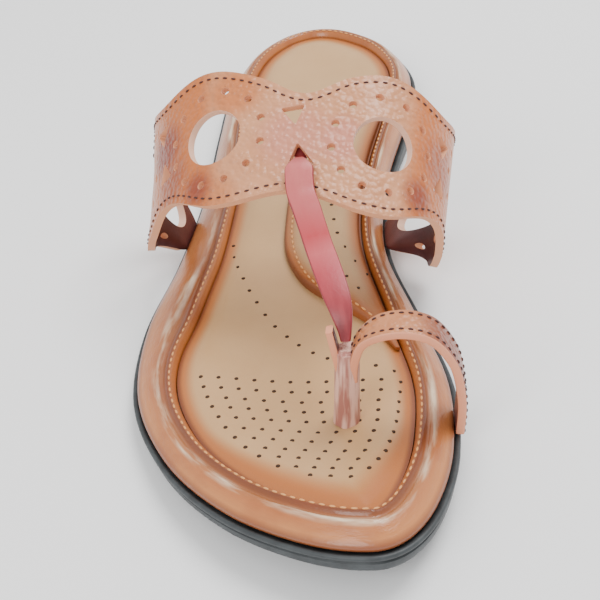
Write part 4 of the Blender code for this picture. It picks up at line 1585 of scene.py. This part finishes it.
class SANDAL_OT_stage(bpy.types.Operator):
    """Pale floor, soft light and the photograph's camera"""

    bl_idname = "sandal.stage"
    bl_label = "Stage"

    def execute(self, context):
        floor = bpy.data.meshes.new("pale_floor")
        floor.from_pydata([(-6, -6, 0), (6, -6, 0), (6, 6, 0), (-6, 6, 0)], [], [(0, 1, 2, 3)])
        paper = linked("pale_floor", floor, [material("white paper", "#f6f6f6", 0.9)])
        world = bpy.data.worlds.new("studio")
        world.use_nodes = True
        sky = world.node_tree.nodes["Background"]
        sky.inputs["Color"].default_value = srgb("#ffffff")
        sky.inputs["Strength"].default_value = 1.0
        context.scene.world = world
        for name, spot, aim, size, power in LIGHTS:
            light = bpy.data.lights.new(name, "AREA")
            light.shape = "DISK"
            light.size = size
            light.energy = power
            lamp = bpy.data.objects.new(name, light)
            lamp.location = spot
            lamp.rotation_euler = (Vector(aim) - Vector(spot)).to_track_quat("-Z", "Y").to_euler()
            context.scene.collection.objects.link(lamp)
        lens = bpy.data.cameras.new("photo_camera")
        lens.lens = 71.0
        lens.sensor_width = 36.0
        camera = bpy.data.objects.new("photo_camera", lens)
        look = (Vector(CAMERA_AIM) - Vector(CAMERA_PLACE)).to_track_quat("-Z", "Y")
        roll = Matrix.Rotation(math.radians(CAMERA_ROLL), 4, "Z")
        camera.matrix_world = (
            Matrix.Translation(CAMERA_PLACE) @ look.to_matrix().to_4x4() @ roll
        )
        context.scene.collection.objects.link(camera)
        context.scene.camera = camera
        return {"FINISHED"}


# In metres in the frame.
CAMERA_PLACE = (0.36668, 0.03746, 0.192)
CAMERA_AIM = (0.13979, 0.00365, 0.020)
CAMERA_ROLL = -8.79
# Columns: name, place, aim, size, power.
LIGHTS = (
    ("key_softbox", (-0.15, 0.35, 0.9), (0.1, 0.0, 0.0), 0.6, 9.0),
    ("front_softbox", (0.8, -0.3, 0.6), (0.1, 0.0, 0.02), 0.5, 4.0),
)
# Perforations charted from the picture. Columns: first dot, last dot, count.
DOT_ROWS = (
    ((188.3, -21.1), (193.7, 26.9), 12),
    ((192.2, -19.9), (197.4, 26.7), 12),
    ((196.1, -18.5), (201.1, 26.4), 11),
    ((199.8, -16.9), (204.7, 26.2), 11),
    ((203.7, -14.9), (208.2, 25.8), 11),
    ((207.7, -12.8), (212.0, 25.2), 10),
    ((211.5, -10.2), (215.4, 24.4), 9),
    ((215.2, -7.4), (218.7, 23.6), 8),
    ((218.6, -4.0), (221.5, 22.1), 7),
    ((222.4, 0.5), (224.5, 20.2), 6),
    ((226.0, 7.7), (227.0, 16.4), 3),
    ((187.9, 21.2), (189.7, 25.4), 2),
)
DOT_CURVE = (
    (135.0, -18.3), (140.3, -17.5), (145.4, -16.0), (150.6, -14.1), (155.5, -12.1),
    (160.2, -9.8), (165.0, -7.3), (169.5, -4.5), (173.5, -1.2), (177.1, 2.0), (180.5, 5.7),
    (183.2, 9.4),
)
ARCH_DOTS = (
    (125.2, 9.1), (132.0, 9.9), (138.1, 11.0), (144.0, 13.0), (149.4, 15.7), (154.2, 18.8),
    (151.6, 10.9), (157.1, 13.9), (161.9, 16.9),
)
ARCH_SEAM = (
    (76.0, 19.0), (86.0, 10.5), (103.0, 1.2), (126.6, -1.7), (134.0, -1.7), (145.8, 0.1),
    (153.6, 3.2), (159.5, 7.0), (168.0, 16.5), (173.0, 21.5),
)


class SANDAL_PT_panel(bpy.types.Panel):
    """Lists the sandal's pieces"""

    bl_idname = "SANDAL_PT_panel"
    bl_label = "Sandal"
    bl_space_type = "VIEW_3D"
    bl_region_type = "UI"
    bl_category = "Sandal"

    def draw(self, context):
        for thing in OPERATORS:
            self.layout.operator(thing.bl_idname)
        for group in (context.scene.sandal_sizes, context.scene.sandal_colours):
            for name in group.bl_rna.properties.keys():
                if name not in ("rna_type", "name"):
                    self.layout.prop(group, name)


OPERATORS = (
    SANDAL_OT_outsole, SANDAL_OT_rim, SANDAL_OT_sock, SANDAL_OT_arch_cushion, SANDAL_OT_band,
    SANDAL_OT_strap, SANDAL_OT_toe_loop, SANDAL_OT_stitches, SANDAL_OT_perforations,
    SANDAL_OT_stage,
)
CLASSES = (SandalSizes, SandalColours, *OPERATORS, SANDAL_PT_panel)


def register():
    for one in CLASSES:
        bpy.utils.register_class(one)
    bpy.types.Scene.sandal_sizes = bpy.props.PointerProperty(type=SandalSizes)
    bpy.types.Scene.sandal_colours = bpy.props.PointerProperty(type=SandalColours)


def unregister():
    del bpy.types.Scene.sandal_colours
    del bpy.types.Scene.sandal_sizes
    for one in reversed(CLASSES):
        bpy.utils.unregister_class(one)


def main():
    register()
    for thing in OPERATORS:
        group, name = thing.bl_idname.split(".")
        if getattr(getattr(bpy.ops, group), name)() != {"FINISHED"}:
            raise RuntimeError(f"{thing.bl_label} did not finish")


if __name__ == "__main__":
    main()
